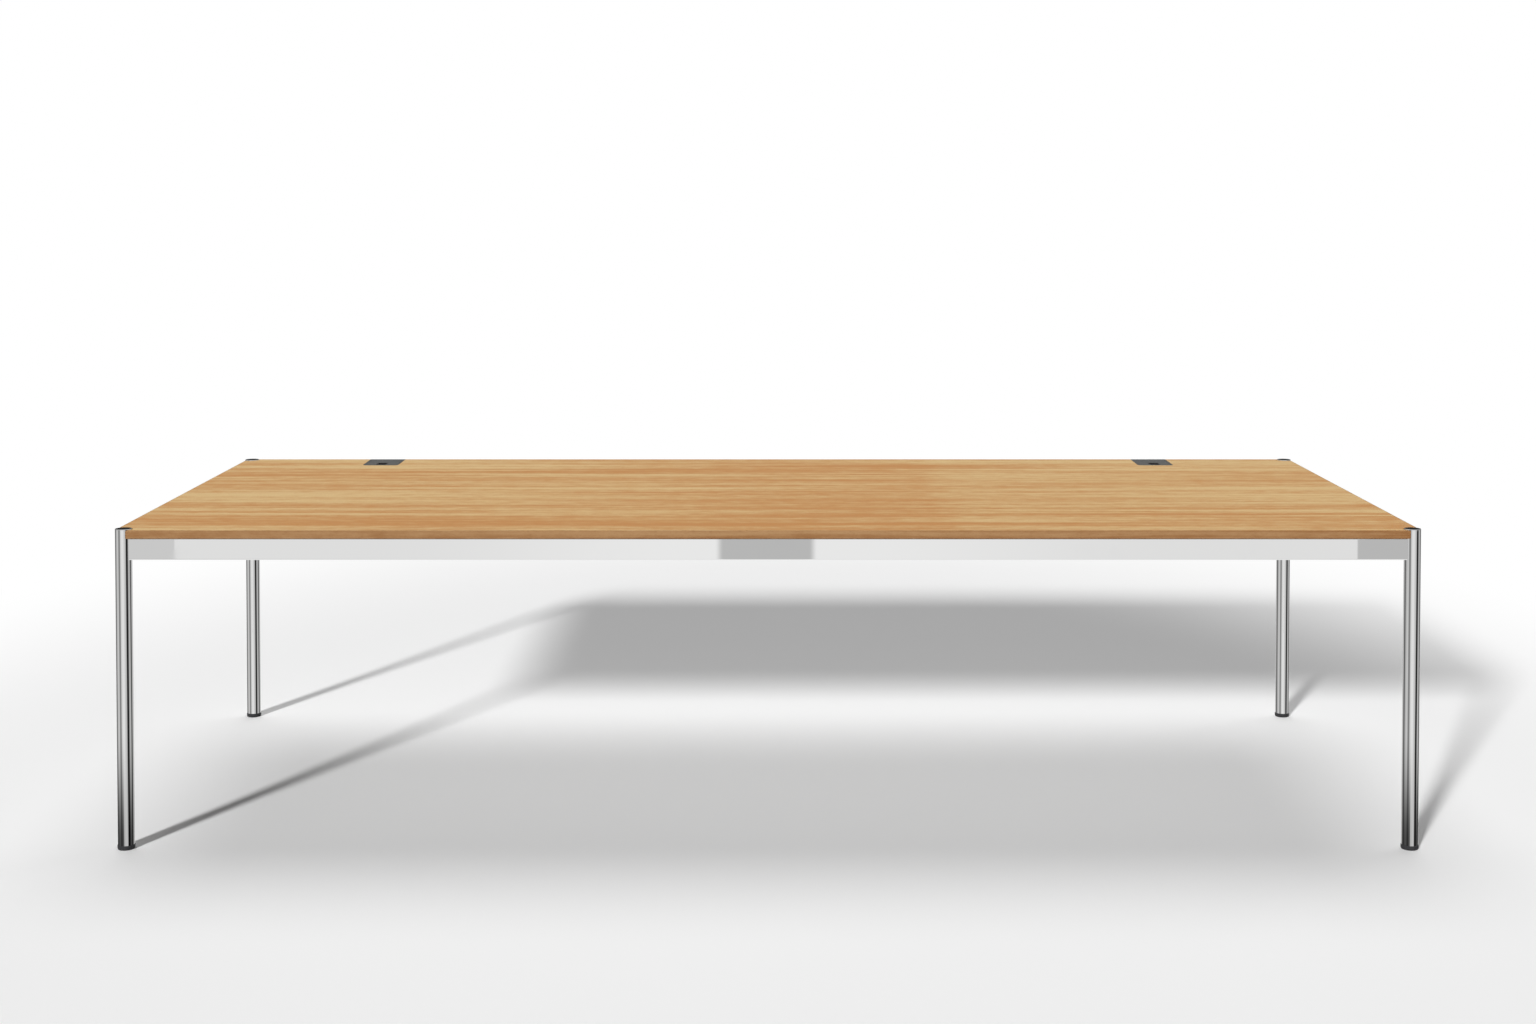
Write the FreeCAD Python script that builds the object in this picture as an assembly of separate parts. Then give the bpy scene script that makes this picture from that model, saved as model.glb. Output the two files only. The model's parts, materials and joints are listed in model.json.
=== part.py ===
import FreeCAD, Part

import math
import os
from FreeCAD import Vector

# Modular table: a veneered board on four chromed tube legs joined by rectangular rails,
# with two lidded cable ports in the rear edge and a levelling glide under each leg.
# Millimetres. +X is to the right along the table, +Y to the rear, +Z up.
# The origin is on the floor, under the middle of the table.

# Overall size
LENGTH = 3000.0
WIDTH = 1250.0
TOP_HEIGHT = 740.0

# Fits
FIXED_GAP = 0.1
RUNNING_GAP = 0.05
CUT_OVERRUN = 1.0

# Board
BOARD_THICKNESS = 19.0
VENEER_THICKNESS = 0.6
BAND_THICKNESS = 2.0
BAND_ROUND = 1.5
NOTCH_GAP = 1.4

# Legs
LEG_DIAMETER = 38.0
LEG_WALL = 2.0
LEG_INSET = 18.0
CAP_THICKNESS = 2.0
CAP_ROUND = 0.8
CAP_SPIGOT_LENGTH = 14.0
CAP_SPIGOT_WALL = 2.5

# Levelling glides
GLIDE_DIAMETER = 40.0
GLIDE_HEIGHT = 10.0
GLIDE_CHAMFER = 1.0
GRIP_FLUTES = 24
GRIP_FLUTE_RADIUS = 1.2
GRIP_FLUTE_DEPTH = 0.5
SOLE_DIAMETER = 38.0
SOLE_THICKNESS = 1.5
SOLE_PIVOT_DIAMETER = 6.0
SOLE_PIVOT_LENGTH = 3.5
STUD_DIAMETER = 10.0
STUD_LENGTH = 50.0
STUD_HEAD_FLATS = 17.0
STUD_HEAD_HEIGHT = 6.0
STUD_TIP_CHAMFER = 1.0
INSERT_LENGTH = 25.0

# Rails
RAIL_HEIGHT = 50.0
RAIL_THICKNESS = 25.0
RAIL_WALL = 2.0
RAIL_ROUND = 2.5

# Rail joints: a plug in each rail end is drawn to the leg by a bolt that a set screw grips
PLUG_REACH = 62.0
BOLT_DIAMETER = 8.0
BOLT_REACH = 54.0
BOLT_NECK_DIAMETER = 6.0
BOLT_NECK_LENGTH = 9.0
BOLT_HOLE_GAP = 0.5
SET_SCREW_REACH = 42.0
SET_SCREW_DIAMETER = 8.0
SET_SCREW_INSET = 0.5
SET_SCREW_KEY_FLATS = 4.0
SET_SCREW_KEY_DEPTH = 4.0
NUT_BAR_THICKNESS = 6.0
NUT_BAR_WIDTH = 16.0
NUT_BAR_HEIGHT = 32.0

# Cross bars under the board, each with an end plate bolted to the long rails
CROSS_BAR_SHARES = (0.25, 0.5, 0.75)
CROSS_BAR_HEIGHT = 40.0
CROSS_BAR_WIDTH = 20.0
CROSS_BAR_WALL = 1.5
CROSS_BAR_ROUND = 2.0
PLATE_THICKNESS = 3.0
PLATE_LENGTH = 76.0
PLATE_ROUND = 6.0
PLATE_BOLT_SPACING = 50.0
PLATE_BOLT_DIAMETER = 6.0
PLATE_BOLT_LENGTH = 15.0
PLATE_BOLT_HEAD_DIAMETER = 10.0
PLATE_BOLT_HEAD_HEIGHT = 6.0
PLATE_BOLT_KEY_FLATS = 5.0
PLATE_BOLT_KEY_DEPTH = 3.0
RIVET_NUT_DIAMETER = 9.0
RIVET_NUT_LENGTH = 14.0
RIVET_NUT_COLLAR_DIAMETER = 12.0
RIVET_NUT_COLLAR_LENGTH = 3.0

# Angle clips that hold the board down on the rails
LONG_CLIP_SHARES = (0.06, 0.38, 0.62, 0.94)
SHORT_CLIP_SHARES = (0.25, 0.75)
CLIP_LENGTH = 30.0
CLIP_REACH = 24.0
CLIP_DROP = 24.0
CLIP_THICKNESS = 2.0
SCREW_DIAMETER = 4.0
SCREW_HEAD_DIAMETER = 8.0
SCREW_HEAD_HEIGHT = 2.4
SCREW_HEAD_ROUND = 1.2
SCREW_TIP_LENGTH = 3.0
SCREW_KEY_FLATS = 2.5
SCREW_KEY_DEPTH = 1.6
BOARD_SCREW_LENGTH = 15.0
RAIL_SCREW_LENGTH = 10.0

# Cable ports
PORT_FROM_END = 406.0
PORT_WIDTH = 100.0
PORT_DEPTH = 130.0
PORT_ROUND = 12.0
PORT_FLANGE_THICKNESS = 1.2
PORT_FLANGE_LAP = 4.0
PORT_FLANGE_ROUND = 0.5
PORT_CUTOUT_GAP = 0.2
PORT_LIFT = 0.3
PORT_REAR_WALL = 3.4
RECESS_WALL = 1.5
LEDGE_WIDTH = 3.0
LID_THICKNESS = 3.0
LID_GAP = 0.4
LID_ROUND = 0.4
LID_HOLE_WIDTH = 27.0
LID_HOLE_DEPTH = 39.0
LID_HOLE_ROUND = 6.0
LID_HOLE_SETBACK = 13.5
GROMMET_WALL = 2.0
GROMMET_LIP = 1.5
GROMMET_LIP_HEIGHT = 0.6
GROMMET_ROUND = 0.4
HINGE_PIN_DIAMETER = 3.0
HINGE_KNUCKLE_DIAMETER = 8.0
HINGE_OPEN_DEGREES = 95.0
PORT_SCREW_SHARES = (0.25, 0.7)
PORT_SCREW_DROP = 10.0
PORT_SCREW_LENGTH = 20.0

# Places worked out from the sizes above
BOARD_BOTTOM = TOP_HEIGHT - BOARD_THICKNESS
LEG_RADIUS = LEG_DIAMETER / 2
LEG_INNER_RADIUS = LEG_RADIUS - LEG_WALL
LEG_X = LENGTH / 2 - LEG_INSET
LEG_Y = WIDTH / 2 - LEG_INSET
RAIL_CENTRE_Z = BOARD_BOTTOM - RAIL_HEIGHT / 2
RAIL_TOP = RAIL_HEIGHT / 2
RAIL_INSIDE = RAIL_THICKNESS / 2
CROSS_BAR_Z = RAIL_TOP - CROSS_BAR_HEIGHT / 2
PORT_X = LENGTH / 2 - PORT_FROM_END
COLLAR_HALF_WIDTH = PORT_WIDTH / 2 - PORT_FLANGE_LAP
COLLAR_DEPTH = PORT_DEPTH - PORT_FLANGE_LAP
COLLAR_ROUND = PORT_ROUND - PORT_FLANGE_LAP
RECESS_HALF_WIDTH = COLLAR_HALF_WIDTH - RECESS_WALL
RECESS_DEPTH = COLLAR_DEPTH - RECESS_WALL
RECESS_ROUND = COLLAR_ROUND - RECESS_WALL
WELL_HALF_WIDTH = RECESS_HALF_WIDTH - LEDGE_WIDTH
WELL_DEPTH = RECESS_DEPTH - LEDGE_WIDTH
WELL_ROUND = RECESS_ROUND - LEDGE_WIDTH
LID_HALF_WIDTH = RECESS_HALF_WIDTH - LID_GAP
HINGE_KNUCKLE_RADIUS = HINGE_KNUCKLE_DIAMETER / 2
HINGE_PIN_RADIUS = HINGE_PIN_DIAMETER / 2
# A lid that opens past upright needs more room behind its knuckle.
HINGE_LEAN = max(1, math.tan(math.radians(HINGE_OPEN_DEGREES / 2)))
HINGE_SWEEP = HINGE_KNUCKLE_RADIUS * HINGE_LEAN + PORT_CUTOUT_GAP
HINGE_Y = -PORT_REAR_WALL - HINGE_SWEEP
HINGE_Z = -HINGE_KNUCKLE_RADIUS

SIDES = {"left": -1, "right": 1}
ENDS = {"front": -1, "rear": 1}
# The corners run anticlockwise. Each has its own frame, turned so that its rails run along +X and +Y.
CORNERS = [("left", "front"), ("right", "front"), ("right", "rear"), ("left", "rear")]
QUARTER_DEGREES = 90
CORNER_DEGREES = {corner: step * QUARTER_DEGREES for step, corner in enumerate(CORNERS)}

UP = Vector(0, 0, 1)
ALONG = Vector(1, 0, 0)
ACROSS = Vector(0, 1, 0)


def both_ways(half):
    """The range from minus to plus a half size."""
    return (-half, half)


def block(x_range, y_range, z_range):
    """A box between two places along each axis."""
    size = [high - low for low, high in (x_range, y_range, z_range)]
    return Part.makeBox(*size, Vector(x_range[0], y_range[0], z_range[0]))


def rod(radius, start, length, direction=UP):
    """A cylinder that starts at a point and runs one way."""
    return Part.makeCylinder(radius, length, start, direction)


def hex_bar(flats, start, length, direction=UP):
    """A hexagonal bar, sized across its flats, that starts at a point and runs one way."""
    corner_radius = flats / math.sqrt(3)
    turns = [math.radians(60 * step) for step in range(7)]
    ring = [Vector(corner_radius * math.cos(t), corner_radius * math.sin(t), 0) for t in turns]
    bar = Part.Face(Part.makePolygon(ring)).extrude(UP * length)
    bar.Placement = FreeCAD.Placement(start, FreeCAD.Rotation(UP, direction))
    return bar


def edges_along(shape, direction):
    """The straight edges of a shape that run along a direction."""
    found = []
    for edge in shape.Edges:
        if edge.Curve.TypeId != "Part::GeomLine":
            continue
        run = edge.lastVertex().Point - edge.firstVertex().Point
        if run.cross(direction).Length < run.Length / 1000:
            found.append(edge)
    return found


def edges_at_height(shape, height):
    """The edges of a shape that lie flat at a height."""
    boxes = [(edge, edge.BoundBox) for edge in shape.Edges]
    return [e for e, box in boxes if max(abs(box.ZMin - height), abs(box.ZMax - height)) < FIXED_GAP]


def placed(shape, origin, heading=0):
    """A copy of a shape, turned about Z by a heading in degrees and then moved to an origin."""
    turn = FreeCAD.Rotation(UP, heading)
    return shape.transformed(FreeCAD.Placement(origin, turn).toMatrix())


def hollow_bar(length_range, width, height, wall, corner_round):
    """A rectangular tube round the X axis, with rounded edges."""
    outer = block(length_range, both_ways(width / 2), both_ways(height / 2))
    outer = outer.makeFillet(corner_round, edges_along(outer, ALONG))
    bore_range = (length_range[0] - CUT_OVERRUN, length_range[1] + CUT_OVERRUN)
    bore = block(bore_range, both_ways(width / 2 - wall), both_ways(height / 2 - wall))
    return outer.cut(bore)


def headed_screw(diameter, length, head_diameter, head_height, head_round, key_flats, key_depth, tip=0):
    """A screw along Z whose head stands on z = 0 and whose shank hangs below it."""
    head = rod(head_diameter / 2, Vector(0, 0, 0), head_height)
    head = head.makeFillet(head_round, edges_at_height(head, head_height))
    head = head.cut(hex_bar(key_flats, Vector(0, 0, head_height - key_depth), key_depth + CUT_OVERRUN))
    screw = head.fuse(rod(diameter / 2, Vector(0, 0, tip - length), length - tip))
    if tip:
        screw = screw.fuse(Part.makeCone(0, diameter / 2, tip, Vector(0, 0, -length), UP))
    return screw.removeSplitter()


def driven(screw, seat, into):
    """A screw along Z, with its head seated at a point and its shank turned to run into the work."""
    placement = FreeCAD.Placement(seat, FreeCAD.Rotation(-UP, into))
    return screw.transformed(placement.toMatrix())


def wood_screw(length):
    """A pointed pan head screw."""
    key = (SCREW_KEY_FLATS, SCREW_KEY_DEPTH)
    head = (SCREW_HEAD_DIAMETER, SCREW_HEAD_HEIGHT, SCREW_HEAD_ROUND)
    return headed_screw(SCREW_DIAMETER, length, *head, *key, SCREW_TIP_LENGTH)


def leg_axis(side, end, height=0):
    """The point on a leg's axis at a height."""
    return Vector(SIDES[side] * LEG_X, ENDS[end] * LEG_Y, height)


# Each rail runs from one corner's leg to the next, with the inside of the table on its left.
# Its own frame is the corner's, raised to the rail's mid height.
LONG_SPAN = 2 * LEG_X
SHORT_SPAN = 2 * LEG_Y
SPANS = {"front": LONG_SPAN, "right": SHORT_SPAN, "rear": LONG_SPAN, "left": SHORT_SPAN}
RAILS = {
    f"rail_{name}": (leg_axis(*corner, RAIL_CENTRE_Z), CORNER_DEGREES[corner], span)
    for (name, span), corner in zip(SPANS.items(), CORNERS)
}


def clip_places(span):
    """How far along a rail each board clip stands."""
    shares = LONG_CLIP_SHARES if span == LONG_SPAN else SHORT_CLIP_SHARES
    return [share * span for share in shares]


def plate_bolt_places(span):
    """How far along a rail each cross bar bolt stands."""
    if span != LONG_SPAN:
        return []
    half = PLATE_BOLT_SPACING / 2
    return [share * span + step for share in CROSS_BAR_SHARES for step in (-half, half)]


def on_each_rail(piece, places):
    """A piece made at the start of a rail, repeated at its places along every rail."""
    copies = []
    for origin, heading, span in RAILS.values():
        for place in places(span):
            copies.append(placed(placed(piece, ALONG * place), origin, heading))
    return copies


def at_each_rail_end(piece):
    """A piece made at a leg's axis with +X into the rail, repeated at both ends of every rail."""
    copies = []
    for origin, heading, span in RAILS.values():
        copies.append(placed(piece, origin, heading))
        far_piece = placed(piece, ALONG * span, 2 * QUARTER_DEGREES)
        copies.append(placed(far_piece, origin, heading))
    return copies


def corner_notch(side, end):
    """The round seat for a leg, opened to the board's corner."""
    bottom = BOARD_BOTTOM - CUT_OVERRUN
    seat = rod(LEG_RADIUS + NOTCH_GAP, UP * bottom, BOARD_THICKNESS + 2 * CUT_OVERRUN)
    reach = LEG_INSET + CUT_OVERRUN
    corner = block((-reach, 0), (-reach, 0), (bottom, TOP_HEIGHT + CUT_OVERRUN))
    return placed(seat.fuse(corner), leg_axis(side, end), CORNER_DEGREES[side, end])


def front_rounded(half_width, y_range, z_range, radius):
    """A block whose two upright edges at the front are rounded."""
    whole = block(both_ways(half_width), y_range, z_range)
    front_edges = [e for e in edges_along(whole, UP) if e.CenterOfMass.y < sum(y_range) / 2]
    return whole.makeFillet(radius, front_edges)


def port_origin(side):
    """Where a cable port's own origin lies: the middle of its rear edge, on the board's top."""
    return Vector(SIDES[side] * PORT_X, WIDTH / 2, TOP_HEIGHT)


def port_cutout():
    """The opening that a port's collar passes through, in the port's own frame."""
    depth_range = (-COLLAR_DEPTH - PORT_CUTOUT_GAP, CUT_OVERRUN)
    height_range = (-BOARD_THICKNESS - CUT_OVERRUN, CUT_OVERRUN)
    radius = COLLAR_ROUND + PORT_CUTOUT_GAP
    return front_rounded(COLLAR_HALF_WIDTH + PORT_CUTOUT_GAP, depth_range, height_range, radius)


def port_rebate():
    """The shallow seat that sinks a port's flange flush with the board, in the port's own frame."""
    depth_range = (-PORT_DEPTH - PORT_CUTOUT_GAP, CUT_OVERRUN)
    height_range = (-PORT_FLANGE_THICKNESS, CUT_OVERRUN)
    radius = PORT_ROUND + PORT_CUTOUT_GAP
    return front_rounded(PORT_WIDTH / 2 + PORT_CUTOUT_GAP, depth_range, height_range, radius)


def port_screws():
    """The four screws of a port, through its collar into the board, in the port's own frame."""
    screws = []
    for way in SIDES.values():
        for share in PORT_SCREW_SHARES:
            seat = Vector(way * WELL_HALF_WIDTH, -share * PORT_DEPTH, -PORT_SCREW_DROP)
            screws.append(driven(wood_screw(PORT_SCREW_LENGTH), seat, ALONG * way))
    return screws


def port_screw_holes():
    """The clearance and pilot holes of a port's screws, in the port's own frame."""
    holes = []
    for way in SIDES.values():
        for share in PORT_SCREW_SHARES:
            start = Vector(0, -share * PORT_DEPTH, -PORT_SCREW_DROP)
            reach = WELL_HALF_WIDTH + PORT_SCREW_LENGTH + FIXED_GAP
            holes.append(rod(SCREW_DIAMETER / 2 + RUNNING_GAP, start, reach, ALONG * way))
    return holes


def board_openings():
    """Everything that is cut out of the board for the legs and the ports."""
    cuts = [corner_notch(side, end) for side, end in CORNERS]
    for side in SIDES:
        cuts.append(placed(port_cutout(), port_origin(side)))
        cuts.append(placed(port_rebate(), port_origin(side)))
    return cuts


def board_layer(z_range):
    """One layer of the board, inside the edge bands."""
    half_length = LENGTH / 2 - BAND_THICKNESS
    half_width = WIDTH / 2 - BAND_THICKNESS
    return block(both_ways(half_length), both_ways(half_width), z_range).cut(board_openings())


def board_screw_seat():
    """Where a board screw's head sits under its clip, in the rail's own frame."""
    across = RAIL_INSIDE + (CLIP_THICKNESS + CLIP_REACH) / 2
    return Vector(0, across, RAIL_TOP - CLIP_THICKNESS)


def rail_screw_seat():
    """Where a rail screw's head sits on its clip, in the rail's own frame."""
    return Vector(0, RAIL_INSIDE + CLIP_THICKNESS, RAIL_TOP - (CLIP_THICKNESS + CLIP_DROP) / 2)


def board_pilot_holes():
    """The pilot holes for the screws that hold the board to its clips."""
    radius = SCREW_DIAMETER / 2 + RUNNING_GAP
    hole = rod(radius, board_screw_seat(), BOARD_SCREW_LENGTH + FIXED_GAP)
    return on_each_rail(hole, clip_places)


def board_nodes():
    """The core, its two veneers and the edge bands."""
    nodes = {}
    core_range = (BOARD_BOTTOM + VENEER_THICKNESS, TOP_HEIGHT - VENEER_THICKNESS)
    screw_holes = [placed(hole, port_origin(side)) for side in SIDES for hole in port_screw_holes()]
    nodes["board_core"] = board_layer(core_range).cut(board_pilot_holes() + screw_holes)
    nodes["top_veneer"] = board_layer((TOP_HEIGHT - VENEER_THICKNESS, TOP_HEIGHT))
    backing = board_layer((BOARD_BOTTOM, BOARD_BOTTOM + VENEER_THICKNESS))
    nodes["backing_veneer"] = backing.cut(board_pilot_holes())
    nodes.update(edge_bands())
    return nodes


def edge_bands():
    """The bands of the four edges, where the rear one is in three lengths between the ports."""
    half_length = LENGTH / 2
    half_width = WIDTH / 2
    inner_length = half_length - BAND_THICKNESS
    inner_width = half_width - BAND_THICKNESS
    bands = {
        "edge_band_front": (both_ways(half_length), (-half_width, -inner_width), ALONG),
        "edge_band_rear_left": ((-half_length, -PORT_X), (inner_width, half_width), ALONG),
        "edge_band_rear_middle": (both_ways(PORT_X), (inner_width, half_width), ALONG),
        "edge_band_rear_right": ((PORT_X, half_length), (inner_width, half_width), ALONG),
        "edge_band_left": ((-half_length, -inner_length), both_ways(half_width), ACROSS),
        "edge_band_right": ((inner_length, half_length), both_ways(half_width), ACROSS),
    }
    nodes = {}
    for name, (x_range, y_range, run) in bands.items():
        band = block(x_range, y_range, (BOARD_BOTTOM, TOP_HEIGHT))
        outer_edges = [e for e in edges_along(band, run) if is_outside(e.CenterOfMass, run)]
        nodes[name] = band.makeFillet(BAND_ROUND, outer_edges).cut(board_openings())
    return nodes


def is_outside(point, run):
    """Whether a point is on the outer face of the band that runs this way."""
    if run == ALONG:
        return abs(point.y) > WIDTH / 2 - BAND_THICKNESS / 2
    return abs(point.x) > LENGTH / 2 - BAND_THICKNESS / 2


def leg():
    """A leg tube round the Z axis, with a bolt hole towards each of its two rails."""
    length = TOP_HEIGHT - GLIDE_HEIGHT
    tube = rod(LEG_RADIUS, UP * GLIDE_HEIGHT, length).cut(rod(LEG_INNER_RADIUS, UP * GLIDE_HEIGHT, length))
    for way in (ALONG, ACROSS):
        hole_radius = BOLT_DIAMETER / 2 + BOLT_HOLE_GAP
        tube = tube.cut(rod(hole_radius, UP * RAIL_CENTRE_Z, LEG_DIAMETER, way))
    return tube


def leg_cap():
    """The disc that closes a leg, on a hollow spigot."""
    disc = rod(LEG_RADIUS, UP * TOP_HEIGHT, CAP_THICKNESS)
    disc = disc.makeFillet(CAP_ROUND, edges_at_height(disc, TOP_HEIGHT + CAP_THICKNESS))
    spigot_radius = LEG_INNER_RADIUS - FIXED_GAP
    spigot_start = UP * (TOP_HEIGHT - CAP_SPIGOT_LENGTH)
    spigot = rod(spigot_radius, spigot_start, CAP_SPIGOT_LENGTH)
    hollow = rod(spigot_radius - CAP_SPIGOT_WALL, spigot_start, CAP_SPIGOT_LENGTH)
    return disc.fuse(spigot.cut(hollow)).removeSplitter()


def foot_insert():
    """The threaded plug in the foot of a leg."""
    plug = rod(LEG_INNER_RADIUS - FIXED_GAP, UP * GLIDE_HEIGHT, INSERT_LENGTH)
    return plug.cut(rod(STUD_DIAMETER / 2 + RUNNING_GAP, UP * GLIDE_HEIGHT, INSERT_LENGTH))


def glide_stud():
    """The threaded stud of a glide, with the hexagonal head that the pad grips."""
    head = hex_bar(STUD_HEAD_FLATS, UP * SOLE_THICKNESS, STUD_HEAD_HEIGHT)
    shank_start = SOLE_THICKNESS + STUD_HEAD_HEIGHT
    shank = rod(STUD_DIAMETER / 2, UP * shank_start, STUD_LENGTH)
    shank = shank.makeChamfer(STUD_TIP_CHAMFER, edges_at_height(shank, shank_start + STUD_LENGTH))
    pivot_radius = SOLE_PIVOT_DIAMETER / 2 + RUNNING_GAP
    pivot_bore = rod(pivot_radius, UP * SOLE_THICKNESS, SOLE_PIVOT_LENGTH + FIXED_GAP)
    return head.fuse(shank).cut(pivot_bore)


def glide_pad():
    """The fluted pad that is turned by hand to screw a glide up or down."""
    pad = rod(GLIDE_DIAMETER / 2, UP * SOLE_THICKNESS, GLIDE_HEIGHT - SOLE_THICKNESS)
    rims = edges_at_height(pad, SOLE_THICKNESS) + edges_at_height(pad, GLIDE_HEIGHT)
    pad = pad.makeChamfer(GLIDE_CHAMFER, rims)
    flute_axis = GLIDE_DIAMETER / 2 + GRIP_FLUTE_RADIUS - GRIP_FLUTE_DEPTH
    flutes = []
    for step in range(GRIP_FLUTES):
        turn = 2 * math.pi * step / GRIP_FLUTES
        start = Vector(flute_axis * math.cos(turn), flute_axis * math.sin(turn), SOLE_THICKNESS)
        flutes.append(rod(GRIP_FLUTE_RADIUS, start, GLIDE_HEIGHT))
    pocket = hex_bar(STUD_HEAD_FLATS + 2 * FIXED_GAP, UP * SOLE_THICKNESS, STUD_HEAD_HEIGHT + FIXED_GAP)
    shank_hole = rod(STUD_DIAMETER / 2 + FIXED_GAP, UP * SOLE_THICKNESS, GLIDE_HEIGHT)
    return pad.cut(flutes + [pocket, shank_hole])


def floor_sole():
    """The disc that stays still on the floor, on a pivot in the stud's head."""
    disc = rod(SOLE_DIAMETER / 2, Vector(0, 0, 0), SOLE_THICKNESS)
    return disc.fuse(rod(SOLE_PIVOT_DIAMETER / 2, UP * SOLE_THICKNESS, SOLE_PIVOT_LENGTH))


def leg_nodes():
    """What stands at each corner: the leg, its cap, its foot insert and its glide."""
    makers = {
        "leg": leg,
        "leg_cap": leg_cap,
        "foot_insert": foot_insert,
        "glide_stud": glide_stud,
        "glide_pad": glide_pad,
        "floor_sole": floor_sole,
    }
    nodes = {}
    for name, maker in makers.items():
        piece = maker()
        for (side, end), heading in CORNER_DEGREES.items():
            nodes[f"{name}_{end}_{side}"] = placed(piece, leg_axis(side, end), heading)
    return nodes


def leg_cope(place):
    """The leg shape that a rail or a plug is coped round, at a place along the rail."""
    return rod(LEG_RADIUS + FIXED_GAP, Vector(place, 0, -RAIL_HEIGHT), 2 * RAIL_HEIGHT)


def rail(span):
    """A rail between two legs, with coped ends and the holes for everything fixed to it."""
    bar = hollow_bar((0, span), RAIL_THICKNESS, RAIL_HEIGHT, RAIL_WALL, RAIL_ROUND)
    cuts = [leg_cope(0), leg_cope(span)]
    key_radius = SET_SCREW_DIAMETER / 2 + BOLT_HOLE_GAP
    for x in (SET_SCREW_REACH, span - SET_SCREW_REACH):
        cuts.append(rod(key_radius, Vector(x, 0, -RAIL_HEIGHT), RAIL_HEIGHT))
    for x in clip_places(span):
        start = Vector(x, RAIL_INSIDE, rail_screw_seat().z)
        cuts.append(rod(SCREW_DIAMETER / 2 + RUNNING_GAP, start, RAIL_THICKNESS / 2, -ACROSS))
    for x in plate_bolt_places(span):
        start = Vector(x, RAIL_INSIDE, CROSS_BAR_Z)
        cuts.append(rod(RIVET_NUT_DIAMETER / 2 + RUNNING_GAP, start, RAIL_THICKNESS / 2, -ACROSS))
    return bar.cut(cuts)


def rail_end_plug():
    """The block in a rail's end, bored for the draw bolt and tapped for the set screw."""
    half_width = RAIL_THICKNESS / 2 - RAIL_WALL - FIXED_GAP
    half_height = RAIL_HEIGHT / 2 - RAIL_WALL - FIXED_GAP
    plug = block((0, PLUG_REACH), both_ways(half_width), both_ways(half_height))
    bore = rod(BOLT_DIAMETER / 2 + BOLT_HOLE_GAP, Vector(0, 0, 0), BOLT_REACH + CUT_OVERRUN, ALONG)
    tapped_start = Vector(SET_SCREW_REACH, 0, -RAIL_HEIGHT / 2)
    tapped_hole = rod(SET_SCREW_DIAMETER / 2 + RUNNING_GAP, tapped_start, RAIL_HEIGHT / 2)
    return plug.cut([leg_cope(0), bore, tapped_hole])


def draw_bolt():
    """The stud that pulls a rail to its leg, with a neck for the set screw."""
    inner_end = LEG_INNER_RADIUS - NUT_BAR_THICKNESS
    neck_start = SET_SCREW_REACH - BOLT_NECK_LENGTH / 2
    neck_end = SET_SCREW_REACH + BOLT_NECK_LENGTH / 2
    bolt = rod(BOLT_DIAMETER / 2, ALONG * inner_end, neck_start - inner_end, ALONG)
    neck = rod(BOLT_NECK_DIAMETER / 2, ALONG * neck_start, BOLT_NECK_LENGTH, ALONG)
    head = rod(BOLT_DIAMETER / 2, ALONG * neck_end, BOLT_REACH - neck_end, ALONG)
    return bolt.fuse([neck, head])


def rail_set_screw():
    """The headless screw that comes up through the plug to the draw bolt's neck."""
    bottom = SET_SCREW_INSET - RAIL_HEIGHT / 2
    top = -BOLT_NECK_DIAMETER / 2 - RUNNING_GAP
    screw = rod(SET_SCREW_DIAMETER / 2, Vector(SET_SCREW_REACH, 0, bottom), top - bottom)
    return screw.cut(hex_bar(SET_SCREW_KEY_FLATS, Vector(SET_SCREW_REACH, 0, bottom), SET_SCREW_KEY_DEPTH))


def leg_nut_bar():
    """The curved nut inside a leg that the draw bolt screws into."""
    reach = (LEG_INNER_RADIUS - NUT_BAR_THICKNESS, LEG_INNER_RADIUS)
    bar = block(reach, both_ways(NUT_BAR_WIDTH / 2), both_ways(NUT_BAR_HEIGHT / 2))
    wall = rod(LEG_INNER_RADIUS - FIXED_GAP, Vector(0, 0, -NUT_BAR_HEIGHT), 2 * NUT_BAR_HEIGHT)
    return bar.common(wall).cut(rod(BOLT_DIAMETER / 2 + RUNNING_GAP, Vector(0, 0, 0), LEG_RADIUS, ALONG))


def plate_bolt():
    """A socket head bolt that holds a cross bar's end plate."""
    head = (PLATE_BOLT_HEAD_DIAMETER, PLATE_BOLT_HEAD_HEIGHT, CAP_ROUND)
    key = (PLATE_BOLT_KEY_FLATS, PLATE_BOLT_KEY_DEPTH)
    bolt = headed_screw(PLATE_BOLT_DIAMETER, PLATE_BOLT_LENGTH, *head, *key)
    return driven(bolt, Vector(0, RAIL_INSIDE + PLATE_THICKNESS, CROSS_BAR_Z), -ACROSS)


def rivet_nut():
    """The threaded sleeve in a rail's wall, with the collar that its setting leaves."""
    sleeve_start = Vector(0, RAIL_INSIDE, CROSS_BAR_Z)
    collar_start = Vector(0, RAIL_INSIDE - RAIL_WALL, CROSS_BAR_Z)
    sleeve = rod(RIVET_NUT_DIAMETER / 2, sleeve_start, RIVET_NUT_LENGTH, -ACROSS)
    collar = rod(RIVET_NUT_COLLAR_DIAMETER / 2, collar_start, RIVET_NUT_COLLAR_LENGTH, -ACROSS)
    thread = rod(PLATE_BOLT_DIAMETER / 2 + RUNNING_GAP, sleeve_start, RIVET_NUT_LENGTH, -ACROSS)
    return sleeve.fuse(collar).cut(thread)


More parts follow.
